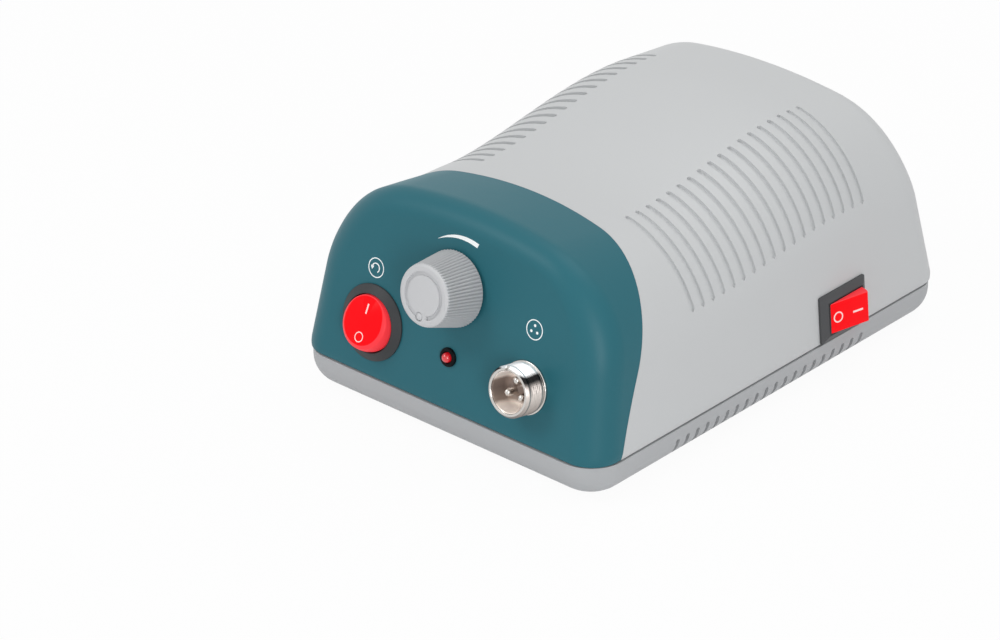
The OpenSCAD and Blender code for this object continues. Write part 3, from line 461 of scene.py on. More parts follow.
class Workpiece:
    """A mesh under construction, in millimetres in its own place."""

    def __init__(self) -> None:
        """Starts empty."""
        self.bm = bmesh.new()

    def join(self, other: "Workpiece", place: Matrix = Matrix.Identity(4)) -> "Workpiece":
        """Takes in another workpiece, moved to its place."""
        other.bm.transform(place)
        mesh = bpy.data.meshes.new("joined")
        other.bm.to_mesh(mesh)
        other.bm.free()
        self.bm.from_mesh(mesh)
        bpy.data.meshes.remove(mesh)
        return self

    def lathe(self, profile: Sequence[Point2], steps: int = 96) -> "Workpiece":
        """Turns a profile of radius and height about the z axis.

        Args:
            profile: Points from one end on the axis, or a closed loop, to the other.
            steps: Number of steps of the full turn.

        Returns:
            This workpiece.
        """
        verts = [self.bm.verts.new((r, 0, z)) for r, z in profile]
        edges = [self.bm.edges.new(pair) for pair in zip(verts, verts[1:])]
        if profile[0][0] > 0 and profile[-1][0] > 0:
            edges.append(self.bm.edges.new((verts[-1], verts[0])))
        bmesh.ops.spin(self.bm, geom=verts + edges, cent=(0, 0, 0), axis=(0, 0, 1), angle=math.tau,
                       steps=steps, use_merge=True, use_duplicate=False)
        return self.welded()

    def at(self, place: Matrix) -> "Workpiece":
        """Moves this workpiece to a place."""
        self.bm.transform(place)
        return self

    def outward(self) -> "Workpiece":
        """Turns the faces outwards."""
        bmesh.ops.recalc_face_normals(self.bm, faces=self.bm.faces)
        return self

    def welded(self) -> "Workpiece":
        """Merges doubles and turns the faces outwards."""
        bmesh.ops.remove_doubles(self.bm, verts=self.bm.verts, dist=1e-4)
        return self.outward()

    def pull(self, face: bmesh.types.BMFace, way: Point3) -> "Workpiece":
        """Draws a face out into a prism."""
        grown = bmesh.ops.extrude_face_region(self.bm, geom=[face])["geom"]
        bmesh.ops.translate(self.bm, vec=way, verts=[g for g in grown if isinstance(g, bmesh.types.BMVert)])
        return self.outward()

    def box(self, w: float, l: float, low: float, high: float) -> "Workpiece":
        """Adds a box centred in x and y."""
        made = bmesh.ops.create_cube(self.bm, size=1.0)["verts"]
        bmesh.ops.scale(self.bm, vec=(w, l, high - low), verts=made)
        bmesh.ops.translate(self.bm, vec=(0, 0, (low + high) / 2), verts=made)
        return self

    def soften(self, edges: Sequence, width: float, segments: int = 3) -> "Workpiece":
        """Rounds edges."""
        bmesh.ops.bevel(self.bm, geom=list(edges), offset=width, offset_type="OFFSET", affect="EDGES",
                        segments=segments, profile=0.5, material=-1, clamp_overlap=True)
        return self

    def sharp_edges(self, test: Callable[[Vector], bool] = lambda middle: True) -> list:
        """The edges where two faces meet at an angle and whose middle passes a test."""
        return [e for e in self.bm.edges if len(e.link_faces) == 2 and e.calc_face_angle(0) > 0.6
                and test((e.verts[0].co + e.verts[1].co) / 2)]

    def capsule(self, length: float, width: float, low: float, high: float, steps: int = 22) -> "Workpiece":
        """Adds an upright slot-shaped prism along x."""
        ring = bmesh.ops.create_circle(self.bm, cap_ends=True, radius=width / 2, segments=steps)["verts"]
        for v in ring:
            v.co.x += math.copysign((length - width) / 2, v.co.x)
            v.co.z = low
        return self.pull(ring[0].link_faces[0], (0, 0, high - low))

    def sheet(self, rows: Sequence[Sequence[Vector]]) -> "Workpiece":
        """Adds a grid drawn over rows of points, all rows as long."""
        across, along = len(rows[0]) - 1, len(rows) - 1
        made = bmesh.ops.create_grid(self.bm, x_segments=across, y_segments=along, size=1.0)["verts"]
        for v in made:
            i = round((v.co.x + 1) / 2 * across)
            j = round((v.co.y + 1) / 2 * along)
            v.co = rows[j][i]
        return self

    def ring(self, inner: float, outer: float, low: float, high: float, steps: int = 64) -> "Workpiece":
        """Adds a flat ring."""
        return self.lathe([(inner, low), (outer, low), (outer, high), (inner, high)], steps)

    def rod(self, radius: float, low: float, high: float, steps: int = 48) -> "Workpiece":
        """Adds an upright rod."""
        return self.lathe([(0, low), (radius, low), (radius, high), (0, high)], steps)

    def tub(self, w: float, l: float, low: float, high: float, corner: float, edge: float = 0.0) -> "Workpiece":
        """Adds an open tub or band of plan corners, with a rounded lower edge where one is asked for.

        Args:
            w: Width.
            l: Length.
            low: Lower height.
            high: Upper height.
            corner: Radius of the upright corners.
            edge: Radius of the lower edge, or 0 for a band with no floor.

        Returns:
            This workpiece.
        """
        self.box(w, l, low, high)
        upright = [e for e in self.bm.edges if abs(e.verts[0].co.z - e.verts[1].co.z) > (high - low) / 2]
        self.soften(upright, corner, 16)
        if edge:
            self.soften(self.sharp_edges(lambda m: m.z < low + 0.01), edge, 12)
        open_faces = [f for f in self.bm.faces if f.normal.z > 0.9 or (not edge and f.normal.z < -0.9)]
        bmesh.ops.delete(self.bm, geom=open_faces, context="FACES")
        return self

    def band(self, w: float, l: float, low: float, high: float, corner: float, thickness: float) -> "Workpiece":
        """Adds a closed band: a wall of that thickness round a plan with rounded corners."""
        self.tub(w, l, low, high, corner).outward()
        bmesh.ops.solidify(self.bm, geom=self.bm.faces, thickness=thickness)
        return self.welded()

    def grow(self, face: bmesh.types.BMFace, spread: tuple[float, float], lift: float) -> bmesh.types.BMFace:
        """Extrudes a level face, spreads it about the middle and lifts it.

        Args:
            face: The face.
            spread: Scale in x and y.
            lift: Way up.

        Returns:
            The moved face.
        """
        grown = bmesh.ops.extrude_face_region(self.bm, geom=[face])["geom"]
        made = next(g for g in grown if isinstance(g, bmesh.types.BMFace))
        bmesh.ops.scale(self.bm, vec=(*spread, 1), verts=made.verts)
        bmesh.ops.translate(self.bm, vec=(0, 0, lift), verts=made.verts)
        return made

    def mark(self, test: Callable[[bmesh.types.BMFace], bool]) -> "Workpiece":
        """Gives the faces that pass a test the second finish, a lighter or darker copy that paints light or shade on
        them.
        """
        self.bm.normal_update()
        for face in self.bm.faces:
            face.material_index = 1 if test(face) else 0
        return self


def dome(radius: float, base: float, step: int) -> list[Point2]:
    """Profile of half a ball from its rim to its top, in steps of so many degrees."""
    turns = [math.radians(a) for a in range(0, 90, step)]
    return [*[(radius * math.cos(t), base + radius * math.sin(t)) for t in turns], (0, base + radius)]


def flank(radius: float, low: float, high: float, steps: int) -> list[Point2]:
    """Arc of a round flank between two heights."""
    first, last = math.asin(low / radius), math.asin(high / radius)
    turns = [mix(first, last, i / steps) for i in range(steps + 1)]
    return [(radius * math.cos(t), radius * math.sin(t)) for t in turns]


def switch_marks(stroke: Point2, stroke_at: Point2, circle: Point2, circle_at: Point2, top: float) -> Workpiece:
    """The stroke and the circle of a switch, a little proud of its face.

    Args:
        stroke: Width and length of the stroke.
        stroke_at: Its middle.
        circle: Inner and outer radius of the circle.
        circle_at: Its middle.
        top: Height of the face.

    Returns:
        The marks.
    """
    low, high = top - MARK_SINK, top + MARK_LIFT
    marks = Workpiece().join(Workpiece().box(*stroke, low, high), Matrix.Translation((*stroke_at, 0)))
    return marks.join(Workpiece().ring(*circle, low, high), Matrix.Translation((*circle_at, 0)))


def rounded(points: Sequence[Point3], segments: int = 5) -> list[Point2]:
    """Rounds the corners of a profile.

    Args:
        points: Radius, height and corner radius of each corner.
        segments: Steps of each rounding.

    Returns:
        The profile with its corners rounded.
    """
    out: list[Point2] = []
    for i, (x, y, r) in enumerate(points):
        if r <= 0 or i in (0, len(points) - 1):
            out.append((x, y))
            continue
        here = Vector((x, y))
        a = (Vector(points[i - 1][:2]) - here).normalized()
        b = (Vector(points[i + 1][:2]) - here).normalized()
        half = a.angle(b) / 2
        reach = r / math.tan(half)
        centre = here + (a + b).normalized() * (r / math.sin(half))
        start, end = here + a * reach - centre, here + b * reach - centre
        sweep = start.angle_signed(end)
        for k in range(segments + 1):
            turn = -sweep * k / segments
            c, s = math.cos(turn), math.sin(turn)
            out.append((centre.x + start.x * c - start.y * s, centre.y + start.x * s + start.y * c))
    return out


@dataclass
class Case:
    """Sizes of the housing, which place every other piece.

    All lengths are in millimetres and all angles in degrees.
    """

    body_w: float = 115.8
    body_l: float = 162.8
    tray_z: float = 0.7
    tray_rim: float = 11.8
    seam_z: float = 12.3
    wall: float = 2.5
    corner_r: float = 9.8
    base_corner_r: float = 11.8
    base_edge_r: float = 8.5
    side_draft: float = 5.8
    front_lean: float = 11.2
    rear_lean: float = 12.5
    roof_mid: float = 58.5
    roof_step: float = 15.7
    roof_run: float = 83.0
    roof_fall: float = 0.112
    roof_y: float = 3.0
    crown_r: float = 170.0
    shoulder_r: float = 34.0
    front_edge_r: float = 6.0
    rear_edge_r: float = 7.0
    split_depth: float = 11.5
    split_lean: float = 18.0
    split_bow: float = 0.003
    tuck: float = 0.35
    tuck_h: float = 2.5
    tuck_steps: int = 6
    wall_steps: int = 9
    shoulder_steps: int = 44
    crown_steps: int = 24
    edge_steps: int = 12
    blend_from: float = 20.0
    blend_turn: float = 55.0

    @property
    def half_w(self) -> float:
        """Half the width at the seam."""
        return self.body_w / 2

    @property
    def half_l(self) -> float:
        """Half the length at the seam."""
        return self.body_l / 2

    @property
    def to_frame(self) -> Matrix:
        """From millimetres about the housing's middle to the shared frame."""
        low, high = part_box("base_tray")
        shift_x = low[0] / MM + self.half_w
        shift_y = high[1] / MM - self.half_l
        return Matrix.Scale(MM, 4) @ Matrix.Translation((shift_x, shift_y, 0))

    def on_front(self, x: float, v: float, w: float = 0.0) -> Matrix:
        """Place on the leaning front: x to the right, y up it, z out of it."""
        return (Matrix.Translation((0, -self.half_l, self.seam_z))
                @ Matrix.Rotation(math.radians(90 - self.front_lean), 4, "X") @ Matrix.Translation((x, v, w)))

    def on_right(self, y: float, v: float, w: float = 0.0) -> Matrix:
        """Place on the right wall: x to the rear, y up it, z out of it."""
        return (Matrix.Translation((self.half_w, 0, self.seam_z)) @ Matrix.Rotation(math.radians(90), 4, "Z")
                @ Matrix.Rotation(math.radians(90 - self.side_draft), 4, "X") @ Matrix.Translation((y, v, w)))

    def on_rear(self, x: float, v: float, w: float = 0.0) -> Matrix:
        """Place on the leaning rear wall: x to the right as seen from behind, y up it, z out of it."""
        return (Matrix.Translation((0, self.half_l, self.seam_z)) @ Matrix.Rotation(math.pi, 4, "Z")
                @ Matrix.Rotation(math.radians(90 - self.rear_lean), 4, "X") @ Matrix.Translation((-x, v, w)))

    def roof(self, y: float) -> float:
        """Height of the roof line above the seam."""
        step = smooth((y - self.roof_y) / self.roof_run + 0.5) - 0.5
        return self.roof_mid - self.roof_fall * y + self.roof_step * step

    def half_section(self, height: float) -> list[Point3]:
        """Right half of a cross-section under a roof of that height.

        Args:
            height: Roof height above the seam.

        Returns:
            Points of x, z and the outward normal's turn from level.
        """
        draft = math.radians(self.side_draft)
        t = math.tan(draft)
        centre_z = height - self.crown_r
        q = self.half_w - self.shoulder_r / math.cos(draft)
        b = q * t + centre_z
        c = q * q + centre_z ** 2 - (self.crown_r - self.shoulder_r) ** 2
        sz = (b + math.sqrt(b * b - (t * t + 1) * c)) / (t * t + 1)
        sx = q - sz * t
        turn = math.atan2(sz - centre_z, sx)
        start = Vector((self.half_w, 0.0))
        end = Vector((sx + self.shoulder_r * math.cos(draft), sz + self.shoulder_r * math.sin(draft)))
        foot = self.tuck_h / end.y
        points = [(*start.lerp(end, foot * i / self.tuck_steps), draft) for i in range(self.tuck_steps)]
        for i in range(self.wall_steps):
            points.append((*start.lerp(end, mix(foot, 1, i / self.wall_steps)), draft))
        for i in range(self.shoulder_steps):
            g = mix(draft, turn, i / self.shoulder_steps)
            points.append((sx + self.shoulder_r * math.cos(g), sz + self.shoulder_r * math.sin(g), g))
        for i in range(self.crown_steps + 1):
            g = mix(turn, math.pi / 2, i / self.crown_steps)
            points.append((self.crown_r * math.cos(g), centre_z + self.crown_r * math.sin(g), g))
        return points

    def ring(self, s: Sequence[float]) -> list[Vector]:
        """Points of a ring from the right foot over the roof to the left foot.

        Args:
            s: Station: y at the seam, lean, bow, corner radius, roof edge radius, edge turn and facing.

        Returns:
            The points in millimetres.
        """
        y0, lean, bow, corner, edge, turn, facing = s
        slope = math.tan(math.radians(lean))
        crest = y0 + facing * edge + self.roof_mid * slope + bow * self.roof_mid ** 2
        sweep = math.radians(turn)
        half = []
        section = self.half_section(self.roof(crest))
        draft = math.radians(self.side_draft) + 1e-6
        top = max(z for _, z, g in section if g <= draft)
        for x, z, g in section:
            r = mix(corner, edge, smooth((math.degrees(g) - self.blend_from) / self.blend_turn))
            d = r * (1 - math.cos(sweep))
            if g > draft:
                x, z = x - d * math.cos(g), z - d * math.sin(g)
            else:
                sink = d * math.sin(g) * max(0.0, z - self.tuck_h) / (top - self.tuck_h)
                x, z = x - d / math.cos(g) + sink * math.tan(g), z - sink
            y = y0 + facing * r * (1 - math.sin(sweep)) + z * slope + bow * z * z
            inset = self.tuck * max(0.0, 1 - z / self.tuck_h) ** 2
            half.append(Vector((x - inset * math.cos(sweep), y + facing * inset * math.sin(sweep), self.seam_z + z)))
        return half + [Vector((-p.x, p.y, p.z)) for p in reversed(half[:-1])]

    def front_station(self, turn: float) -> list[float]:
        """Station on the control front's edge rounding."""
        return [-self.half_l, self.front_lean, 0, self.corner_r, self.front_edge_r, turn, 1]

    def rear_station(self, turn: float) -> list[float]:
        """Station on the rear edge rounding."""
        return [self.half_l, -self.rear_lean, 0, self.corner_r, self.rear_edge_r, turn, -1]

    def split_station(self, facing: int, gap: float) -> list[float]:
        """Station where the two covers meet, drawn back by half the part line."""
        return [-self.half_l + self.split_depth - facing * gap, self.split_lean, self.split_bow, 0, 0, 0, facing]


def between(a: Sequence[float], b: Sequence[float], count: int) -> list[list[float]]:
    """Stations between two others, both ends left out."""
    return [[mix(p, q, i / count) for p, q in zip(a, b)] for i in range(1, count)]


class Shop:
    """Makes finished pieces of workpieces and puts them on their bodies."""

    def __init__(self, case: Case, paints: Paints) -> None:
        """Keeps the housing's sizes and the paints."""
        self.case = case
        self.paints = paints

    def raw(self, name: str, work: Workpiece) -> bpy.types.Object:
        """Links a workpiece as a mesh object in the shared frame."""
        work.bm.transform(self.case.to_frame)
        mesh = bpy.data.meshes.new(name)
        work.bm.to_mesh(mesh)
        work.bm.free()
        made = bpy.data.objects.new(name, mesh)
        bpy.context.scene.collection.objects.link(made)
        return made

    def piece(self, name: str, work: Workpiece, finish: str, body: Body, stands_for: Sequence[str] = (),
              slot: Optional[str] = None, sharp: float = 32.0, painted_light_finish: Optional[str] = None) -> bpy.types.Object:
        """Finishes a workpiece as a piece of the object.

        Args:
            name: Name of the piece.
            work: The mesh, in millimetres about the housing's middle.
            finish: Name of the finish.
            body: Body that it rides on.
            stands_for: CAD nodes that it replaces.
            slot: Not used.
            sharp: Angle in degrees above which an edge stays sharp.
            painted_light_finish: Name of the finish of the marked faces, which paints light or shade on them.

        Returns:
            The piece.
        """
        return self.dress(self.raw(name, work), finish, body, stands_for, slot, sharp, painted_light_finish)

    def dress(self, made: bpy.types.Object, finish: str, body: Body, stands_for: Sequence[str] = (),
              slot: Optional[str] = None, sharp: float = 32.0, painted_light_finish: Optional[str] = None) -> bpy.types.Object:
        """Gives a linked mesh its finish, its shading and its body."""
        mesh = made.data
        if mesh.materials:
            mesh.materials.clear()
        for name in (finish, painted_light_finish):
            if name:
                mesh.materials.append(self.paints.get(name))
        mesh.polygons.foreach_set("use_smooth", [True] * len(mesh.polygons))
        mesh.set_sharp_from_angle(angle=math.radians(sharp))
        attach(made, body.value)
        if stands_for:
            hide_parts(*stands_for)
        LOG.info("%s: %d faces on %s", made.name, len(mesh.polygons), body.value)
        return made

    def shape(self, made: bpy.types.Object, takes: Sequence[Workpiece], adds: Sequence[Workpiece] = (),
              thickness: float = 0.0) -> None:
        """Thickens a skin inwards, if asked, joins workpieces to it and cuts others out of it.

        Args:
            made: The object, already linked.
            takes: What is taken away.
            adds: What is joined to it first.
            thickness: Wall thickness in millimetres, or 0 for a solid.
        """
        if thickness:
            wall = made.modifiers.new("wall", "SOLIDIFY")
            wall.thickness = thickness * MM
            wall.offset = -1.0
            wall.use_even_offset = False
        tools = []
        for kind, works in (("UNION", adds), ("DIFFERENCE", takes)):
            for work in works:
                tools.append(self.raw(made.name + "_tool", work))
                step = made.modifiers.new(kind.lower(), "BOOLEAN")
                step.operation, step.solver, step.object = kind, "EXACT", tools[-1]
        bpy.context.view_layer.update()
        graph = bpy.context.evaluated_depsgraph_get()
        result = bpy.data.meshes.new_from_object(made.evaluated_get(graph))
        old = made.data
        made.modifiers.clear()
        made.data = result
        result.name = made.name
        bpy.data.meshes.remove(old)
        for tool in tools:
            self.scrap(tool)

    def attach(self, made: bpy.types.Object, work: Workpiece) -> None:
        """Takes a workpiece into a linked mesh as it is."""
        work.bm.transform(self.case.to_frame)
        work.bm.from_mesh(made.data)
        work.bm.to_mesh(made.data)
        work.bm.free()

    @staticmethod
    def scrap(tool: bpy.types.Object) -> None:
        """Throws a cutter away."""
        mesh = tool.data
        bpy.data.objects.remove(tool)
        bpy.data.meshes.remove(mesh)


# The housing's mouldings


def spots(x: float, ys: Sequence[float]) -> list[Vector]:
    """Places on both sides of the middle plane at each y."""
    return [Vector((side * x, y, 0)) for side in (-1, 1) for y in ys]


def around(angle: float, radius: float) -> Matrix:
    """Place on a circle about the z axis, turned with it."""
    return Matrix.Rotation(math.radians(angle), 4, "Z") @ Matrix.Translation((radius, 0, 0))


def planted(places: Sequence[Vector], make: Callable[[], Workpiece]) -> Workpiece:
    """Copies of a workpiece set at each place."""
    work = Workpiece()
    for place in places:
        work.join(make(), Matrix.Translation(place))
    return work


@dataclass
class Covers:
    """The roofed cover and the control front, lofted through rings and cut.

    Lengths are in millimetres.
    """

    shop: Shop
    vent_count: int = 18
    vent_pitch: float = 4.6
    vent_w: float = 1.7
    vent_in: float = 27.0
    vent_out: float = 53.5
    vent_y: float = 5.5
    vent_skew: float = 1.0
    vent_reach: tuple[float, float] = (-0.75, 1.0)
    vent_rows: int = 14
    part_line: float = 0.05
    loft_from: float = -36.0
    loft_to: float = 44.0
    loft_steps: int = 44
    blend_steps: int = 14
    cap_inset: float = 0.5
    foot_inset: float = 3.0
    boss_r: float = 4.0
    boss_h: float = 22.0
    front_boss_h: float = 11.0
    pilot_r: float = 1.5
    bite: float = 9.5
    rib_t: float = 2.0
    rib_foot: float = 4.0
    top_boss_in: float = 10.3
    top_boss_ys: Sequence[float] = (-57.0, 66.2)
    front_boss_in: float = 13.3
    front_boss_y: float = -69.7
    power_hole: Point2 = (19.4, 13.0)
    power_depth: float = 14.0
    power_at: Point2 = (30.9, 7.7)
    inlet_hole: Point2 = (27.6, 19.8)
    inlet_depth: float = 16.0
    inlet_at: Point2 = (28.0, 24.0)
    jack_r: float = 4.9
    jack_at: Point2 = (-36.0, 24.0)
    cut_over: float = 2.0
    bore_half: float = 6.0
    holes: Sequence[Point3] = ((-0.9, 36.5, 4.1), (-29.7, 16.3, 10.1), (29.2, 16.6, 7.2), (0.1, 15.7, 2.55))

    def skin(self, stations: Sequence[Sequence[float]]) -> Workpiece:
        """Lofts a skin through stations and closes its last ring with a flat wall.

        Args:
            stations: From the part line to the flat wall.

        Returns:
            The open skin, its faces turned outwards.
        """
        rings = [self.shop.case.ring(s) for s in stations]
        work = Workpiece().sheet(rings)
        last = rings[-1]
        foot = []
        for right, left in zip(last[:self.shop.case.tuck_steps + 1], reversed(last)):
            inner = right.x - self.foot_inset
            foot.append([left, Vector((-inner, left.y, left.z)), Vector((inner, right.y, right.z)), right])
        work.sheet(foot).welded()
        start, crest = foot[-1][0], last[len(last) // 2]

        def on_wall(p: Vector) -> bool:
            """Whether a point lies on the flat wall above its foot."""
            y = mix(start.y, crest.y, (p.z - start.z) / (crest.z - start.z))
            return p.z > start.z - 1e-3 and abs(p.y - y) < 1e-2

        rim = [e for e in work.bm.edges if len(e.link_faces) == 1 and all(on_wall(v.co) for v in e.verts)]
        cap = bmesh.ops.contextual_create(work.bm, geom=rim)["faces"]
        bmesh.ops.inset_region(work.bm, faces=cap, thickness=self.cap_inset, use_even_offset=True)
        work.outward()
        flat = max(work.bm.faces, key=lambda f: f.calc_area())
        inside = Vector((0, 0, self.shop.case.seam_z + self.shop.case.roof_mid / 2))
        if flat.normal.dot(flat.calc_center_median() - inside) < 0:
            bmesh.ops.reverse_faces(work.bm, faces=work.bm.faces)
        return work

    def vent(self, y: float, side: int) -> Workpiece:
        """One roof slot as a cutter that follows the roof's bend and has round ends.

        Args:
            y: Place along the roof.
            side: 1 for the right half of the roof, -1 for the left.

        Returns:
            The cutter.
        """
        case = self.shop.case
        section = case.half_section(case.roof(y))
        low, high = self.vent_reach
        radius = self.vent_w / 2
        rows = []
        for i in range(self.vent_rows + 1):
            bend = 0.5 - 0.5 * math.cos(math.pi * i / self.vent_rows)
            x = mix(self.vent_out, self.vent_in, bend)
            after = next(k for k, p in enumerate(section) if p[0] <= x and p[1] > case.tuck_h)
            a, b = section[after - 1], section[after]
            share = (x - a[0]) / (b[0] - a[0])
            z, g = mix(a[1], b[1], share), mix(a[2], b[2], share)
            way = min(x - self.vent_in, self.vent_out - x) / max(0.2, math.sin(g))
            half = radius if way >= radius else math.sqrt(max(0.0, radius ** 2 - (radius - way) ** 2))
            at = y + self.vent_skew * (bend - 0.5)
            rows.append([Vector((side * (x + out * math.cos(g)), at + across * half,
                                 case.seam_z + z + out * math.sin(g)))
                         for out, across in ((high, -1), (high, 1), (low, 1), (low, -1), (high, -1))])
        return Workpiece().sheet(rows).welded()

    def roof_cutter(self) -> Workpiece:
        """What is taken out of the roofed cover: slots, switch hole, inlet and jack holes."""
        case = self.shop.case
        cutter = Workpiece()
        for side in (-1, 1):
            for i in range(self.vent_count):
                cutter.join(self.vent(self.vent_y + (i - (self.vent_count - 1) / 2) * self.vent_pitch, side))
        power = Workpiece().box(*self.power_hole, -self.power_depth, self.cut_over)
        cutter.join(power, case.on_right(*self.power_at))
        inlet = Workpiece().box(*self.inlet_hole, -self.inlet_depth, self.cut_over)
        cutter.join(inlet, case.on_rear(*self.inlet_at))
        return cutter.join(Workpiece().rod(self.jack_r, -self.bore_half, self.bore_half), case.on_rear(*self.jack_at))

    def front_cutter(self) -> Workpiece:
        """What is taken out of the control front: the holes of its fittings."""
        case = self.shop.case
        cutter = Workpiece()
        for x, v, r in self.holes:
            cutter.join(Workpiece().rod(r, -self.bore_half, self.bore_half, 64), case.on_front(x, v))
        return cutter

    def bosses(self, places: Sequence[Vector], height: float, rib: tuple[float, float], shift: Vector) -> Workpiece:
        """Bored screw bosses and the ribs that join them to the wall.

        Args:
            places: Middle of each boss.
            height: Height above the seam.
            rib: Width and length of a rib.
            shift: Way from a boss to its rib, for a boss on the right.

        Returns:
            The bosses and ribs.
        """
        low = self.shop.case.seam_z
        top, end = low + height, low + self.bite
        bored = [(0, end), (self.pilot_r, end), (self.pilot_r, low), (self.boss_r, low), (self.boss_r, top), (0, top)]
        work = planted(places, lambda: Workpiece().lathe(bored, 48))
        for place in places:
            plate = Workpiece().box(*rib, low + self.rib_foot, top - 0.1)
            work.join(plate, Matrix.Translation(place + Vector((math.copysign(shift.x, place.x), shift.y, 0))))
        return work

    def build(self) -> None:
        """Makes both covers."""
        case = self.shop.case
        turns = [90 * i / case.edge_steps for i in range(case.edge_steps + 1)]
        split = case.split_station(-1, self.part_line)
        first, last = [self.loft_from, 0, 0, 0, 0, 0, -1], [self.loft_to, 0, 0, 0, 0, 0, -1]
        stations = [split, *between(split, first, self.blend_steps), first,
                    *between(first, last, self.loft_steps), last,
                    *between(last, case.rear_station(0), self.blend_steps),
                    *[case.rear_station(t) for t in turns]]
        top = self.shop.raw("roofed_cover", self.skin(stations))
        self.shop.shape(top, [self.roof_cutter()], thickness=case.wall)
        span = self.top_boss_in - case.wall - self.pilot_r
        self.shop.attach(top, self.bosses(spots(case.half_w - self.top_boss_in, self.top_boss_ys), self.boss_h,
                                          (span, self.rib_t), Vector((self.pilot_r + span / 2, 0, 0))))
        self.shop.dress(top, "cover", Body.CASE, ["top_cover"], "cover_grey")
        split = case.split_station(1, self.part_line)
        stations = [split, *between(split, case.front_station(0), self.blend_steps),
                    *[case.front_station(t) for t in turns]]
        front = self.shop.raw("control_front", self.skin(stations))
        self.shop.shape(front, [self.front_cutter()], thickness=case.wall)
        span = self.front_boss_y + case.half_l - case.wall - self.pilot_r
        self.shop.attach(front, self.bosses(spots(case.half_w - self.front_boss_in, [self.front_boss_y]),
                                            self.front_boss_h, (self.rib_t, span),
                                            Vector((0, -self.pilot_r - span / 2, 0))))
        self.shop.dress(front, "teal", Body.CASE, ["front_cover"], "teal")


@dataclass
class Tray:
    """The base tray: a tub with a rounded lower edge, slots in its sides and a tongue inside its rim."""

    shop: Shop
    slot_count: int = 20
    slot_pitch: float = 4.5
    slot_w: float = 1.7
    slot_drop: float = 3.8
    slot_depth: float = 6.0
    slot_y: float = -2.3
    slot_l: float = 18.0
    tongue_in: float = 3.1
    tongue_t: float = 1.2
    tongue_h: float = 2.0
    step_in: float = 1.9
    notch_y: float = 30.9
    notch_l: float = 22.6
    notch_w: float = 28.0
    notch_h: float = 4.0
    boss_r: float = 4.0
    pad_r: float = 4.5
    pad_h: float = 3.0
    post_r: float = 3.5
    post_h: float = 6.0
    root: float = 1.0
    slack: float = 0.02
    well_r: float = 3.0
    well_h: float = 3.0
    screw_r: float = 1.55
    foot_r: float = 6.1
    boss_spots: Sequence[Point2] = ((47.6, -57.0), (47.6, 66.2), (44.6, -69.7))
    pad_spots: Sequence[Point2] = ((-42.7, 25.0), (-42.7, 43.0), (26.7, 25.0), (26.7, 43.0))
    post_spots: Sequence[Point2] = ((-36.0, -53.0), (-36.0, -3.0), (36.0, -53.0), (36.0, -3.0))
    rest_xs: Sequence[float] = (-22.25, 6.25)
    rest_y: float = 34.0
    rest_l: float = 36.0
    foot_spot: Point2 = (34.0, 62.0)

    def slots(self) -> Workpiece:
        """Side slots with round upper ends."""
        case = self.shop.case
        work = Workpiece()
        middle = case.seam_z - self.slot_drop - self.slot_l / 2
        for side in (-1, 1):
            ends = sorted((side * (case.half_w - self.slot_depth), side * (case.half_w + 1)))
            for i in range(self.slot_count):
                y = self.slot_y + (i - (self.slot_count - 1) / 2) * self.slot_pitch
                slot = Workpiece().capsule(self.slot_l, self.slot_w, *ends, 16)
                work.join(slot, Matrix.Translation((0, y, middle)) @ Matrix.Rotation(math.pi / 2, 4, "Y"))
        return work

    def build(self) -> None:
        """Makes the tray."""
        case = self.shop.case
        shell = Workpiece().tub(case.body_w, case.body_l, case.tray_z, case.tray_rim, case.base_corner_r,
                                case.base_edge_r)
        made = self.shop.raw("slotted_tray", shell)
        low = case.tray_rim - self.tongue_h
        step, inset = 2 * self.step_in, 2 * self.tongue_in
        lip = Workpiece().band(case.body_w - step, case.body_l - step, low, case.tray_rim - self.slack,
                               case.base_corner_r - self.step_in, self.tongue_in + self.tongue_t - self.step_in)
        tongue = Workpiece().band(case.body_w - inset, case.body_l - inset, low + self.slack,
                                  case.seam_z + self.tongue_h, case.corner_r - self.tongue_in, self.tongue_t)
        floor = case.tray_z + case.wall
        root = floor - self.root
        bosses = [p for x, y in self.boss_spots for p in spots(x, [y])]
        inner = planted(bosses, lambda: Workpiece().rod(self.boss_r, root, case.seam_z - self.slack))
        for places, radius, height in ((self.pad_spots, self.pad_r, self.pad_h),
                                       (self.post_spots, self.post_r, self.post_h)):
            inner.join(planted([Vector((x, y, 0)) for x, y in places],
                               lambda: Workpiece().rod(radius, root, floor + height)))
        for x in self.rest_xs:
            rest = Workpiece().box(case.wall, self.rest_l, root, floor + self.pad_h)
            inner.join(rest, Matrix.Translation((x, self.rest_y, 0)))
        cutter = self.slots()
        roof, top = case.tray_z + self.well_h, case.seam_z + 1
        well = [(0, -1), (self.well_r, -1), (self.well_r, roof), (self.screw_r, roof), (self.screw_r, top), (0, top)]
        cutter.join(planted(bosses, lambda: Workpiece().lathe(well, 40)))
        foot_x, foot_y = self.foot_spot
        cutter.join(planted(spots(foot_x, (-foot_y, foot_y)),
                            lambda: Workpiece().rod(self.foot_r, -1, case.tray_z + 1)))
        notch = Workpiece().box(self.notch_w, self.notch_l, case.tray_rim, case.seam_z + self.notch_h)
        cutter.join(notch, Matrix.Translation((case.half_w, self.notch_y, 0)))
        self.shop.shape(made, [cutter], [lip, tongue, inner], case.wall)
        self.shop.dress(made, "base", Body.CASE, ["base_tray"], "base_grey")


# Fittings of the control front


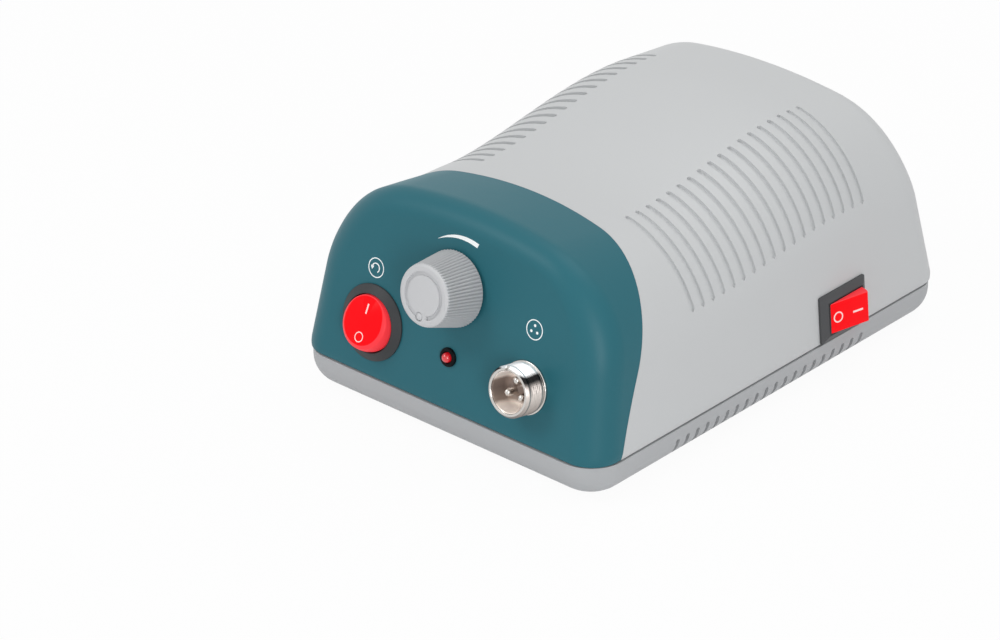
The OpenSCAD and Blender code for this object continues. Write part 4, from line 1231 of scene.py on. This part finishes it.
@dataclass
class DirectionSwitch:
    """Round rocker switch: bezel and tilted paddle with its two marks."""

    shop: Shop
    x: float = -29.7
    v: float = 16.3
    bezel_r: float = 11.5
    bezel_t: float = 2.0
    rim: float = 0.55
    recess_r: float = 8.8
    recess_depth: float = 3.9
    body_r: float = 10.0
    body_depth: float = 14.0
    hinge_w: float = 1.0
    paddle_r: float = 8.5
    face_h: float = 3.6
    under: float = 1.2
    bevel_h: float = 0.7
    bevel_w: float = 1.1
    tilt: float = 15.0
    arc_steps: int = 14
    stroke: Point2 = (0.5, 3.0)
    stroke_at: Point2 = (0.17, 4.02)
    circle: Point2 = (1.28, 1.56)
    circle_at: Point2 = (0.2, -4.55)

    def paddle(self) -> Workpiece:
        """The paddle: a dome with a flat face, whose edge is bevelled round its lower half."""
        shoulder = self.face_h - self.bevel_h
        side = flank(self.paddle_r, -self.under, shoulder, self.arc_steps)
        wide = side[-1][0]
        face = wide - self.bevel_w
        bevel = [(mix(wide, face, t), shoulder + self.bevel_h * t ** 0.8) for t in (0.25, 0.5, 0.75, 0.94)]
        work = Workpiece().lathe([(0, -self.under), *side, *bevel, (face - 0.15, self.face_h), (0, self.face_h)], 144)
        for v in work.bm.verts:
            radius = math.hypot(v.co.x, v.co.y)
            if v.co.z > shoulder + 0.01 and radius > face - 0.5:
                share = smooth((v.co.y / radius - 0.1) / 0.9)
                way = (v.co.z - shoulder) / self.bevel_h
                spread = mix(1, (wide - 0.35 * way) / radius, share)
                v.co = (v.co.x * spread, v.co.y * spread, mix(v.co.z, self.face_h - 0.25 * (1 - way), share))
        # Side and bevel faces take the lighter red: painted light on the paddle's sides.
        return work.mark(lambda f: f.normal.z < 0.93)

    def build(self) -> None:
        """Makes the bezel, the paddle and the marks."""
        place = self.shop.case.on_front(self.x, self.v)
        bezel = Workpiece().lathe(rounded([
            (0, -self.body_depth, 0), (self.body_r, -self.body_depth, 0.6), (self.body_r, 0, 0),
            (self.bezel_r, 0, 0.1), (self.bezel_r, self.rim, 0.3), (self.recess_r + 0.2, self.bezel_t, 0.2),
            (self.recess_r, self.bezel_t - 0.1, 0),
            (self.recess_r, -self.recess_depth, 0), (0, -self.recess_depth, 0)]), 144)
        self.shop.piece("direction_bezel", bezel.at(place), "dark", Body.CASE, ["direction_body"], "dark_plastic")
        tilted = place @ Matrix.Translation((0, 0, self.hinge_w)) @ Matrix.Rotation(math.radians(-self.tilt), 4, "X")
        self.shop.piece("direction_paddle", self.paddle().at(tilted), "red", Body.DIRECTION, ["direction_rocker"],
                        "red_plastic", painted_light_finish="red_painted_lit_side")
        marks = switch_marks(self.stroke, self.stroke_at, self.circle, self.circle_at, self.face_h)
        self.shop.piece("direction_marks", marks.at(tilted), "mark_pink", Body.DIRECTION)


@dataclass
class SpeedKnob:
    """Fluted knob with a round channel in its face that is broken beside the pointer dot."""

    shop: Shop
    x: float = -0.9
    v: float = 36.5
    foot_r: float = 11.3
    face_r: float = 9.1
    height: float = 13.7
    gap: float = 0.8
    flutes: int = 64
    flute_depth: float = 0.6
    facets: int = 8
    side_rows: int = 14
    rim: float = 0.9
    recess_r: float = 7.15
    recess_top: float = 4.2
    shaft_r: float = 3.03
    shaft_top: float = 11.75
    channel_in: float = 5.9
    channel_out: float = 7.1
    channel_depth: float = 0.7
    channel_edge: float = 0.07
    bridge: Point2 = (262.0, 288.0)
    dot_turn: float = 264.0
    dot_r: float = 1.25
    dot_flat: float = 0.65
    dot_lift: float = 0.1
    seat_r: float = 1.4
    land_over: float = 0.4
    land_under: float = 0.5
    land_drop: float = 0.004

    def build(self) -> None:
        """Makes the knob and its dot."""
        place = self.shop.case.on_front(self.x, self.v)
        side_top = self.height - self.rim
        side = [(mix(self.foot_r, self.face_r + 0.15, i / self.side_rows),
                 mix(self.gap + 0.3, side_top, i / self.side_rows), 0.0) for i in range(self.side_rows + 1)]
        floor = self.height - self.channel_depth
        profile = rounded([
            (0, self.shaft_top, 0), (self.shaft_r, self.shaft_top, 0), (self.shaft_r, self.recess_top, 0),
            (self.recess_r, self.recess_top, 0.2), (self.recess_r, self.gap, 0), (self.foot_r - 0.3, self.gap, 0),
            *side, (self.face_r - 0.1, self.height - 0.35, 0.3), (self.face_r - 0.75, self.height, 0.4),
            (self.channel_out, self.height, self.channel_edge), (self.channel_out, floor, self.channel_edge),
            (self.channel_in, floor, self.channel_edge), (self.channel_in, self.height, self.channel_edge),
            (0, self.height, 0)], 4)
        knob = Workpiece().lathe(profile, self.flutes * self.facets)
        for v in knob.bm.verts:
            radius = math.hypot(v.co.x, v.co.y)
            if self.gap + 0.2 < v.co.z < self.height - 0.2 and radius > self.face_r - 0.5:
                fade = smooth((self.height - 0.4 - v.co.z) / 0.8)
                wave = abs(math.sin(math.atan2(v.co.y, v.co.x) * self.flutes / 2))
                scale = 1 - fade * self.flute_depth * (1 - wave) / radius
                v.co.x *= scale
                v.co.y *= scale
        made = self.shop.raw("speed_knob_cap", knob.at(place))
        a = math.radians(self.dot_turn)
        middle = (self.channel_in + self.channel_out) / 2
        at_dot = place @ Matrix.Translation((middle * math.cos(a), middle * math.sin(a), 0))
        seat = Workpiece().rod(self.seat_r, floor, self.height + 1, 40).at(at_dot)
        self.shop.shape(made, [seat], [self.land(place)])
        # The fluted side takes the darker copy of the knob grey: painted shade.
        back = (self.shop.case.to_frame @ place).inverted()
        for polygon in made.data.polygons:
            at = back @ polygon.center
            in_painted_shade = self.gap < at.z < side_top and math.hypot(at.x, at.y) > self.face_r - 0.3
            polygon.material_index = int(in_painted_shade)
        self.shop.dress(made, "knob", Body.KNOB, ["speed_knob"], "knob_grey", 38.0, "flutes")
        dot = Workpiece()
        bmesh.ops.create_uvsphere(dot.bm, u_segments=32, v_segments=20, radius=self.dot_r)
        bmesh.ops.scale(dot.bm, vec=(1, 1, self.dot_flat), verts=dot.bm.verts)
        dot.at(at_dot @ Matrix.Translation((0, 0, floor + self.dot_lift)))
        self.shop.piece("pointer_dot", dot, "knob", Body.KNOB)

    def land(self, place: Matrix) -> Workpiece:
        """The stretch where the channel is filled, beside the dot."""
        work = Workpiece()
        low = self.height - self.channel_depth - self.land_under
        high = self.height - self.land_drop
        near, far = self.channel_in - self.land_over, self.channel_out + self.land_over
        verts = [work.bm.verts.new((r, 0, z)) for r, z in ((near, low), (far, low), (far, high), (near, high))]
        face = work.bm.faces.new(verts)
        first, last = (math.radians(a) for a in self.bridge)
        bmesh.ops.rotate(work.bm, cent=(0, 0, 0), matrix=Matrix.Rotation(first, 3, "Z"), verts=verts)
        bmesh.ops.spin(work.bm, geom=[face], cent=(0, 0, 0), axis=(0, 0, 1), steps=12, use_merge=False,
                       angle=last - first, use_duplicate=False)
        return work.welded().at(place)


@dataclass
class Lamp:
    """Red lamp in a black collar."""

    shop: Shop
    x: float = 0.1
    v: float = 15.7
    collar_r: float = 2.85
    barrel_r: float = 2.45
    lens_r: float = 1.5
    fit: float = 0.05
    collar_h: float = 1.0
    barrel_l: float = 6.0
    dome_base: float = 0.9
    flange_r: float = 1.9
    flange_t: float = 1.0
    lead_w: float = 0.5
    lead_x: float = 0.75
    lead_ends: Point2 = (-15.0, -6.5)

    def build(self) -> None:
        """Makes the collar and the lens."""
        place = self.shop.case.on_front(self.x, self.v)
        bore, end, top = self.lens_r + self.fit, -self.barrel_l, self.collar_h
        collar = Workpiece().lathe(rounded([
            (bore, end, 0), (self.barrel_r, end, 0.1), (self.barrel_r, 0, 0), (self.collar_r, 0, 0.05),
            (self.collar_r, top, 0.55), (self.lens_r + 0.35, top, 0.2), (bore, 0.55, 0.1), (bore, end + 0.1, 0)]), 64)
        self.shop.piece("lamp_ring", collar.at(place), "jet", Body.CASE, ["lamp_collar"], "black_plastic")
        back = end - self.flange_t
        lens = Workpiece().lathe(rounded([
            (0, back, 0), (self.flange_r, back, 0.1), (self.flange_r, end, 0.05), (self.lens_r, end, 0),
            *[(r, z, 0) for r, z in dome(self.lens_r, self.dome_base, 6)]]), 48)
        for side in (-1, 1):
            lead = Workpiece().box(self.lead_w, self.lead_w, *self.lead_ends)
            lens.join(lead, Matrix.Translation((side * self.lead_x, 0, 0)))
        self.shop.piece("lamp_lens", lens.at(place), "lamp", Body.CASE, ["lamp"], "red_lens")


@dataclass
class MotorSocket:
    """Threaded socket shell with a keyed insert and three pins."""

    shop: Shop
    x: float = 29.2
    v: float = 16.6
    shell_r: float = 7.6
    reach: float = 8.0
    bore_r: float = 6.2
    lip_r: float = 6.9
    neck_r: float = 7.1
    collar_r: float = 7.95
    collar_t: float = 0.8
    back: float = 9.0
    thread_from: float = 1.7
    thread_to: float = 7.0
    pitch: float = 0.8
    thread_depth: float = 0.32
    thread_rows: int = 90
    notch_turn: float = 102.0
    notch_half: float = 5.0
    notch_depth: float = 0.7
    bowl_r: float = 2.4
    lining: float = 0.2
    pin_r: float = 1.2
    pin_circle: float = 3.0
    pin_turns: Sequence[float] = (90.0, 210.0, 330.0)
    pin_top: float = 5.5
    pin_back: float = 15.0
    floor: float = 0.5
    key_turn: float = 30.0
    key: Point3 = (4.8, 1.8, 4.2)
    key_groove: float = 0.5
    key_top: Point2 = (0.94, 0.56)
    key_floor: Point2 = (1.0, 0.9)
    metal_roughness: float = 0.3
    # Share of metal and of painted glow for the shell's outside and its bore.
    outside_metal: Point2 = (0.6, 0.12)
    inside_metal: Point2 = (0.55, 0.2)
    # Painted reflections: colours of the belts on the shell's threaded side and in its bore, from the foot up.
    outside: Sequence[tuple[float, str]] = ((0.0, "59524f"), (0.22, "9c948e"), (0.52, "c8c0ba"), (0.74, "8d8682"),
                                            (0.81, "0c0c0d"), (0.88, "0e0e0f"), (0.92, "fbfbfb"), (1.0, "ffffff"))
    inside: Sequence[tuple[float, str]] = ((0.0, "fff6ee"), (0.1, "f4e8de"), (0.16, "9a8a80"), (0.42, "7d6f68"),
                                           (0.62, "8e7e75"), (0.7, "f4eae2"), (0.94, "fff8f2"), (1.0, "4c403b"))

    def metal(self, name: str, stops: Sequence[tuple[float, str]], reach: float, look: Point2) -> str:
        """Makes the bright metal of a round part, with reflections painted in belts across its height and a painted
        glow.

        Args:
            name: Name of the finish.
            stops: Its painted reflection belts.
            reach: Radius of the part.
            look: Share of metal and of painted glow.

        Returns:
            The finish's name.
        """
        place = self.shop.case.to_frame @ self.shop.case.on_front(self.x, self.v)
        up = (place.to_3x3() @ Vector((0, 1, 0))).normalized()
        return self.shop.paints.mix(PaintedReflectionMetal(name, stops, place.translation.dot(up), tuple(up), reach * MM,
                                              look[0], self.metal_roughness, look[1]))

    def build(self) -> None:
        """Makes the shell, the insert and the pins."""
        place = self.shop.case.on_front(self.x, self.v)
        self.shell(place)
        wall = self.bore_r - 0.02
        mouth = self.reach - 0.5
        insert = Workpiece().lathe(rounded([
            (0, -self.back, 0), (wall, -self.back, 0), (wall, mouth, 0.05), (wall - self.lining, mouth, 0.05),
            (wall - self.lining, self.floor, self.bowl_r), (0, self.floor, 0)], 10), 96)
        rail = Workpiece().box(self.key[0], self.key[1], 0, self.key[2])
        top = max(rail.bm.faces, key=lambda f: f.calc_center_median().z)
        rail.grow(rail.grow(top, self.key_top, 0.0), self.key_floor, -self.key_groove)
        rail.soften(rail.sharp_edges(lambda m: m.z > self.key[2] - 0.05), 0.1, 2)
        insert.join(rail, around(self.key_turn, self.bore_r / 2))
        # The insert takes painted reflection belts in its bore.
        metal = self.metal("socket_inside", self.inside, self.bore_r, self.inside_metal)
        self.shop.piece("socket_floor", insert.at(place), metal, Body.CASE, ["socket_insert"], "insert_grey")
        pins = Workpiece()
        profile = [(0, -self.pin_back), (self.pin_r, -self.pin_back), *dome(self.pin_r, self.pin_top - self.pin_r, 9)]
        for angle in self.pin_turns:
            pins.join(Workpiece().lathe(profile, 32), around(angle, self.pin_circle))
        self.shop.piece("socket_contacts", pins.at(place), "nickel", Body.CASE, ["socket_pins"], "nickel")

    def shell(self, place: Matrix) -> None:
        """Makes the shell: turned, threaded and notched."""
        thread = [(self.shell_r, mix(self.thread_from, self.thread_to, i / self.thread_rows), 0.0)
                  for i in range(self.thread_rows + 1)]
        shell = Workpiece().lathe(rounded([
            (self.bore_r, -self.back, 0), (self.neck_r, -self.back, 0.2), (self.neck_r, 0, 0),
            (self.collar_r, 0, 0.05), (self.collar_r, self.collar_t, 0.3),
            (self.shell_r - 0.3, self.collar_t + 0.1, 0.05), (self.shell_r, self.collar_t + 0.5, 0.05), *thread,
            (self.shell_r, self.reach - 0.8, 0.25),
            (self.lip_r, self.reach, 0.2), (self.bore_r + 0.12, self.reach, 0.08), (self.bore_r, self.reach - 0.15, 0),
            (self.bore_r, -self.back + 0.1, 0)]), 180)
        for v in shell.bm.verts:
            radius = math.hypot(v.co.x, v.co.y)
            turn = math.degrees(math.atan2(v.co.y, v.co.x))
            if self.thread_from - 0.01 < v.co.z < self.thread_to + 0.01 and radius > self.shell_r - 0.1:
                fade = smooth((v.co.z - self.thread_from) / 0.5) * smooth((self.thread_to - v.co.z) / 1.0)
                tooth = (v.co.z / self.pitch - turn / 360) % 1.0
                scale = 1 - fade * self.thread_depth * abs(2 * tooth - 1) / radius
                v.co.x *= scale
                v.co.y *= scale
            elif abs(turn - self.notch_turn) < self.notch_half and v.co.z > self.reach - self.notch_depth:
                v.co.z = self.reach - self.notch_depth
        # The threaded side takes painted reflection belts over the nickel.
        shell.mark(lambda f: math.hypot(*f.calc_center_median()[:2]) > self.lip_r + 0.1
                   and f.calc_center_median().z > self.collar_t + 0.2 and abs(f.normal.z) < 0.75)
        metal = self.metal("socket_outside", self.outside, self.shell_r, self.outside_metal)
        self.shop.piece("socket_ring", shell.at(place), "nickel", Body.CASE, ["socket_shell"], "nickel", painted_light_finish=metal)


@dataclass
class PowerSwitch:
    """Oblong rocker switch on the right wall, its bezel mitred like a picture frame."""

    shop: Shop
    y: float = 30.9
    v: float = 7.7
    length: float = 21.4
    height: float = 14.9
    bezel_t: float = 2.0
    rim: float = 0.7
    lip: float = 0.3
    mouth_l: float = 16.0
    mouth_h: float = 10.0
    recess_depth: float = 3.9
    body_l: float = 19.2
    body_h: float = 12.8
    body_depth: float = 14.0
    corner: float = 0.5
    hinge_w: float = 0.6
    paddle_r: float = 7.7
    paddle_h: float = 9.4
    face_h: float = 3.3
    under: float = 1.2
    tilt: float = 15.0
    arc_steps: int = 12
    stroke: Point2 = (3.6, 0.62)
    stroke_at: Point2 = (3.12, -0.1)
    circle: Point2 = (1.3, 1.72)
    circle_at: Point2 = (-4.16, -0.05)

    def bezel(self) -> Workpiece:
        """The body and its frame, grown from one block."""
        work = Workpiece().box(self.body_l, self.body_h, -self.body_depth, 0)
        face = max(work.bm.faces, key=lambda f: f.calc_center_median().z)
        face = work.grow(face, (self.length / self.body_l, self.height / self.body_h), 0)
        face = work.grow(face, (1, 1), self.rim)
        lip_l, lip_h = self.mouth_l + 2 * self.lip, self.mouth_h + 2 * self.lip
        face = work.grow(face, (lip_l / self.length, lip_h / self.height), self.bezel_t - self.rim)
        face = work.grow(face, (self.mouth_l / lip_l, self.mouth_h / lip_h), 0)
        work.grow(face, (1, 1), -self.bezel_t - self.recess_depth)
        edge = self.length / 2 - 0.01
        upright = [e for e in work.bm.edges if all(abs(v.co.x) > edge and v.co.z > -0.01 for v in e.verts)
                   and abs(e.verts[0].co.z - e.verts[1].co.z) > self.rim / 2]
        work.soften(upright, self.corner, 4)
        work.bm.normal_update()
        return work.soften(work.sharp_edges(lambda m: abs(m.z - self.rim) < 0.01), 0.12, 2)

    def paddle(self) -> Workpiece:
        """The paddle: a slice of a barrel with a flat face and softened edges."""
        arc = flank(self.paddle_r, -self.under, self.face_h, self.arc_steps)
        work = Workpiece()
        outline = [*arc, *[(-x, z) for x, z in reversed(arc)]]
        face = work.bm.faces.new([work.bm.verts.new((x, -self.paddle_h / 2, z)) for x, z in outline])
        work.pull(face, (0, self.paddle_h, 0))
        work.soften(work.sharp_edges(lambda m: m.z > self.face_h - 0.05), 0.22, 3)
        # Side faces take the lighter red: painted light on the paddle's sides.
        return work.mark(lambda f: f.normal.z < 0.75)

    def build(self) -> None:
        """Makes the bezel, the paddle and the marks."""
        place = self.shop.case.on_right(self.y, self.v)
        self.shop.piece("power_bezel", self.bezel().at(place), "frame", Body.CASE, ["power_body"], "dark_plastic", 25.0)
        tilted = place @ Matrix.Translation((0, 0, self.hinge_w)) @ Matrix.Rotation(math.radians(-self.tilt), 4, "Y")
        self.shop.piece("power_paddle", self.paddle().at(tilted), "red", Body.POWER, ["power_rocker"], "red_plastic",
                        painted_light_finish="red_painted_lit_side")
        marks = switch_marks(self.stroke, self.stroke_at, self.circle, self.circle_at, self.face_h)
        self.shop.piece("power_marks", marks.at(tilted), "mark_pink", Body.POWER)


@dataclass
class PrintedMarks:
    """Printed signs on the control front."""

    shop: Shop
    knob: Point2 = (-0.9, 36.5)
    turning: Point2 = (-31.06, 32.65)
    motor: Point2 = (29.43, 33.99)
    sign_r: Point2 = (2.72, 3.02)
    wedge_from: float = 125.6
    wedge_to: float = 66.8
    wedge_inner: Point3 = (14.86, -1.63, 1.83)
    wedge_outer: Point3 = (14.90, 0.72, 0.82)
    bow_r: Point2 = (1.22, 1.52)
    bow_sweep: Point2 = (-55.0, 195.0)
    arrow: Sequence[Sequence[Point2]] = (((-1.95, 0.35), (-0.75, 0.35)), ((-1.36, -0.75), (-1.34, -0.75)))
    dot_r: float = 0.42
    dot_circle: float = 1.25
    dot_turns: Sequence[float] = (90.0, 210.0, 330.0)
    low: float = -0.15
    high: float = 0.03

    def plate(self, rows: Sequence[Sequence[Point2]]) -> Workpiece:
        """A thin plate over rows of points on the front."""
        work = Workpiece().sheet([[Vector((x, y, self.high)) for x, y in row] for row in rows]).outward()
        bmesh.ops.solidify(work.bm, geom=work.bm.faces, thickness=self.high - self.low)
        return work.welded()

    def arc(self, inner: Callable[[float], float], outer: Callable[[float], float], start: float, end: float,
            steps: int = 48) -> Workpiece:
        """A curved bar whose edges are given by the share of its way.

        Args:
            inner: Radius of the inner edge.
            outer: Radius of the outer edge.
            start: Angle of its start in degrees.
            end: Angle of its end in degrees.
            steps: Number of steps.

        Returns:
            The bar.
        """
        shares = [i / steps for i in range(steps + 1)]
        angles = [math.radians(mix(start, end, t)) for t in shares]
        return self.plate([[(r(t) * math.cos(a), r(t) * math.sin(a)) for t, a in zip(shares, angles)]
                           for r in (inner, outer)])

    def build(self) -> None:
        """Makes the turning sign, the motor sign and the speed wedge."""
        case = self.shop.case
        turn = Workpiece().ring(*self.sign_r, self.low, self.high)
        turn.join(self.arc(lambda t: self.bow_r[0], lambda t: self.bow_r[1], *self.bow_sweep))
        turn.join(self.plate(self.arrow))
        motor = Workpiece().ring(*self.sign_r, self.low, self.high)
        for angle in self.dot_turns:
            motor.join(Workpiece().rod(self.dot_r, self.low, self.high, 24), around(angle, self.dot_circle))
        inner, outer = [lambda t, c=c: c[0] + c[1] * t + c[2] * t * t for c in (self.wedge_inner, self.wedge_outer)]
        wedge = self.arc(inner, outer, self.wedge_from, self.wedge_to)
        for name, work, spot in (("turning_sign", turn, self.turning), ("motor_sign", motor, self.motor),
                                 ("speed_wedge", wedge, self.knob)):
            self.shop.piece(name, work.at(case.on_front(*spot)), "mark", Body.CASE)


# The studio


@dataclass
class Studio:
    """Camera, lights, floor and backdrop."""

    case: Case
    place: Point3 = (710.22, -852.736, 592.101)
    azimuth: float = 41.726
    elevation: float = 28.259
    lens: float = 151.34
    sensor: float = 36.0
    clip: Point2 = (0.05, 50.0)
    floor_size: float = 12.0
    floor_z: float = -0.0002
    floor_colour: Colour = (0.86, 0.86, 0.87, 1.0)
    floor_white: float = 0.95
    sky: float = 0.45
    white: Colour = (1.0, 1.0, 1.0, 1.0)
    lights: Sequence[tuple[str, Point3, float, Point2, float]] = (
        ("key", (-0.55, -0.85, 0.95), 0.04, (0.5, 0.5), 3.8), ("fill", (0.88, -0.72, 0.34), 0.03, (0.3, 0.5), 3.8),
        ("top", (0.1, 0.25, 1.2), 0.05, (0.9, 0.9), 4.3))

    def camera(self) -> None:
        """Sets the camera at the viewing angle."""
        data = bpy.data.cameras.new("camera")
        data.lens, data.sensor_width, data.sensor_fit = self.lens, self.sensor, "HORIZONTAL"
        data.clip_start, data.clip_end = self.clip
        made = bpy.data.objects.new("camera", data)
        a, e = math.radians(self.azimuth), math.radians(self.elevation)
        right = Vector((math.cos(a), math.sin(a), 0))
        back = Vector((math.sin(a) * math.cos(e), -math.cos(a) * math.cos(e), math.sin(e)))
        up = back.cross(right)
        turn = Matrix((right, up, back)).transposed().to_4x4()
        at = self.case.to_frame @ (Vector(self.place) + Vector((0, 0, self.case.seam_z)))
        made.matrix_world = Matrix.Translation(at) @ turn
        bpy.context.scene.collection.objects.link(made)
        bpy.context.scene.camera = made

    def lamp(self, name: str, spot: Point3, aim: float, size: Point2, power: float) -> None:
        """Adds a soft box light, aimed at a height above the middle."""
        data = bpy.data.lights.new(name, "AREA")
        data.shape, data.size, data.size_y, data.energy = "RECTANGLE", size[0], size[1], power
        made = bpy.data.objects.new(name, data)
        made.matrix_world = (Matrix.Translation(spot)
                             @ (Vector((0, 0, aim)) - Vector(spot)).to_track_quat("-Z", "Y").to_matrix().to_4x4())
        bpy.context.scene.collection.objects.link(made)

    def seen(self, bench: Bench) -> Wire:
        """1 for rays that see the backdrop as plain white."""
        total = None
        for ray in Ray:
            wire = bench.node("ShaderNodeLightPath", {}, {}, ray.value)
            total = wire if total is None else total + wire
        return total.clipped()

    def world(self) -> None:
        """Sets the even sky, white to the camera."""
        made = bpy.data.worlds.new("studio")
        made.use_nodes = True
        bench = Bench(made.node_tree)
        strength = self.seen(bench) * (1.0 - self.sky) + self.sky
        sky = bench.node("ShaderNodeBackground", {}, {"Color": self.white, "Strength": strength})
        out = bench.tree.nodes.new("ShaderNodeOutputWorld")
        bench.tree.links.new(sky.socket, out.inputs["Surface"])
        bpy.context.scene.world = made

    def floor(self) -> None:
        """Lays the pale floor."""
        work = bmesh.new()
        bmesh.ops.create_grid(work, x_segments=1, y_segments=1, size=self.floor_size / 2)
        mesh = bpy.data.meshes.new("floor")
        work.to_mesh(mesh)
        work.free()
        made = bpy.data.objects.new("floor", mesh)
        made.location.z = self.floor_z
        coat, bench = started("floor_white")
        plain = bench.node("ShaderNodeBsdfDiffuse", {}, {"Color": self.floor_colour})
        white = bench.node("ShaderNodeEmission", {}, {"Color": self.white, "Strength": 1.0})
        share = self.seen(bench) * self.floor_white
        bench.close(bench.node("ShaderNodeMixShader", {}, {0: share, 1: plain, 2: white}))
        mesh.materials.append(coat)
        bpy.context.scene.collection.objects.link(made)

    def build(self) -> None:
        """Sets up the whole studio."""
        bpy.context.scene.view_settings.view_transform = "Standard"
        self.camera()
        self.world()
        self.floor()
        for light in self.lights:
            self.lamp(*light)


def dress_nodes(shop: Shop) -> None:
    """Gives the solids that show as they are their finishes."""
    for name, finish in PLAIN_NODES.items():
        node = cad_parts[name]
        node.data.materials.clear()
        node.data.materials.append(shop.paints.get(finish))
        LOG.info("%s: %s", name, finish)


def main() -> None:
    """Builds the scene."""
    logging.basicConfig(level=logging.INFO, format="%(message)s")
    shop = Shop(Case(), Paints())
    Studio(shop.case).build()
    dress_nodes(shop)
    for assembly in (Covers(shop), Tray(shop), DirectionSwitch(shop), SpeedKnob(shop), Lamp(shop), MotorSocket(shop),
                     PowerSwitch(shop), PrintedMarks(shop)):
        assembly.build()


if __name__ == "__main__":
    main()
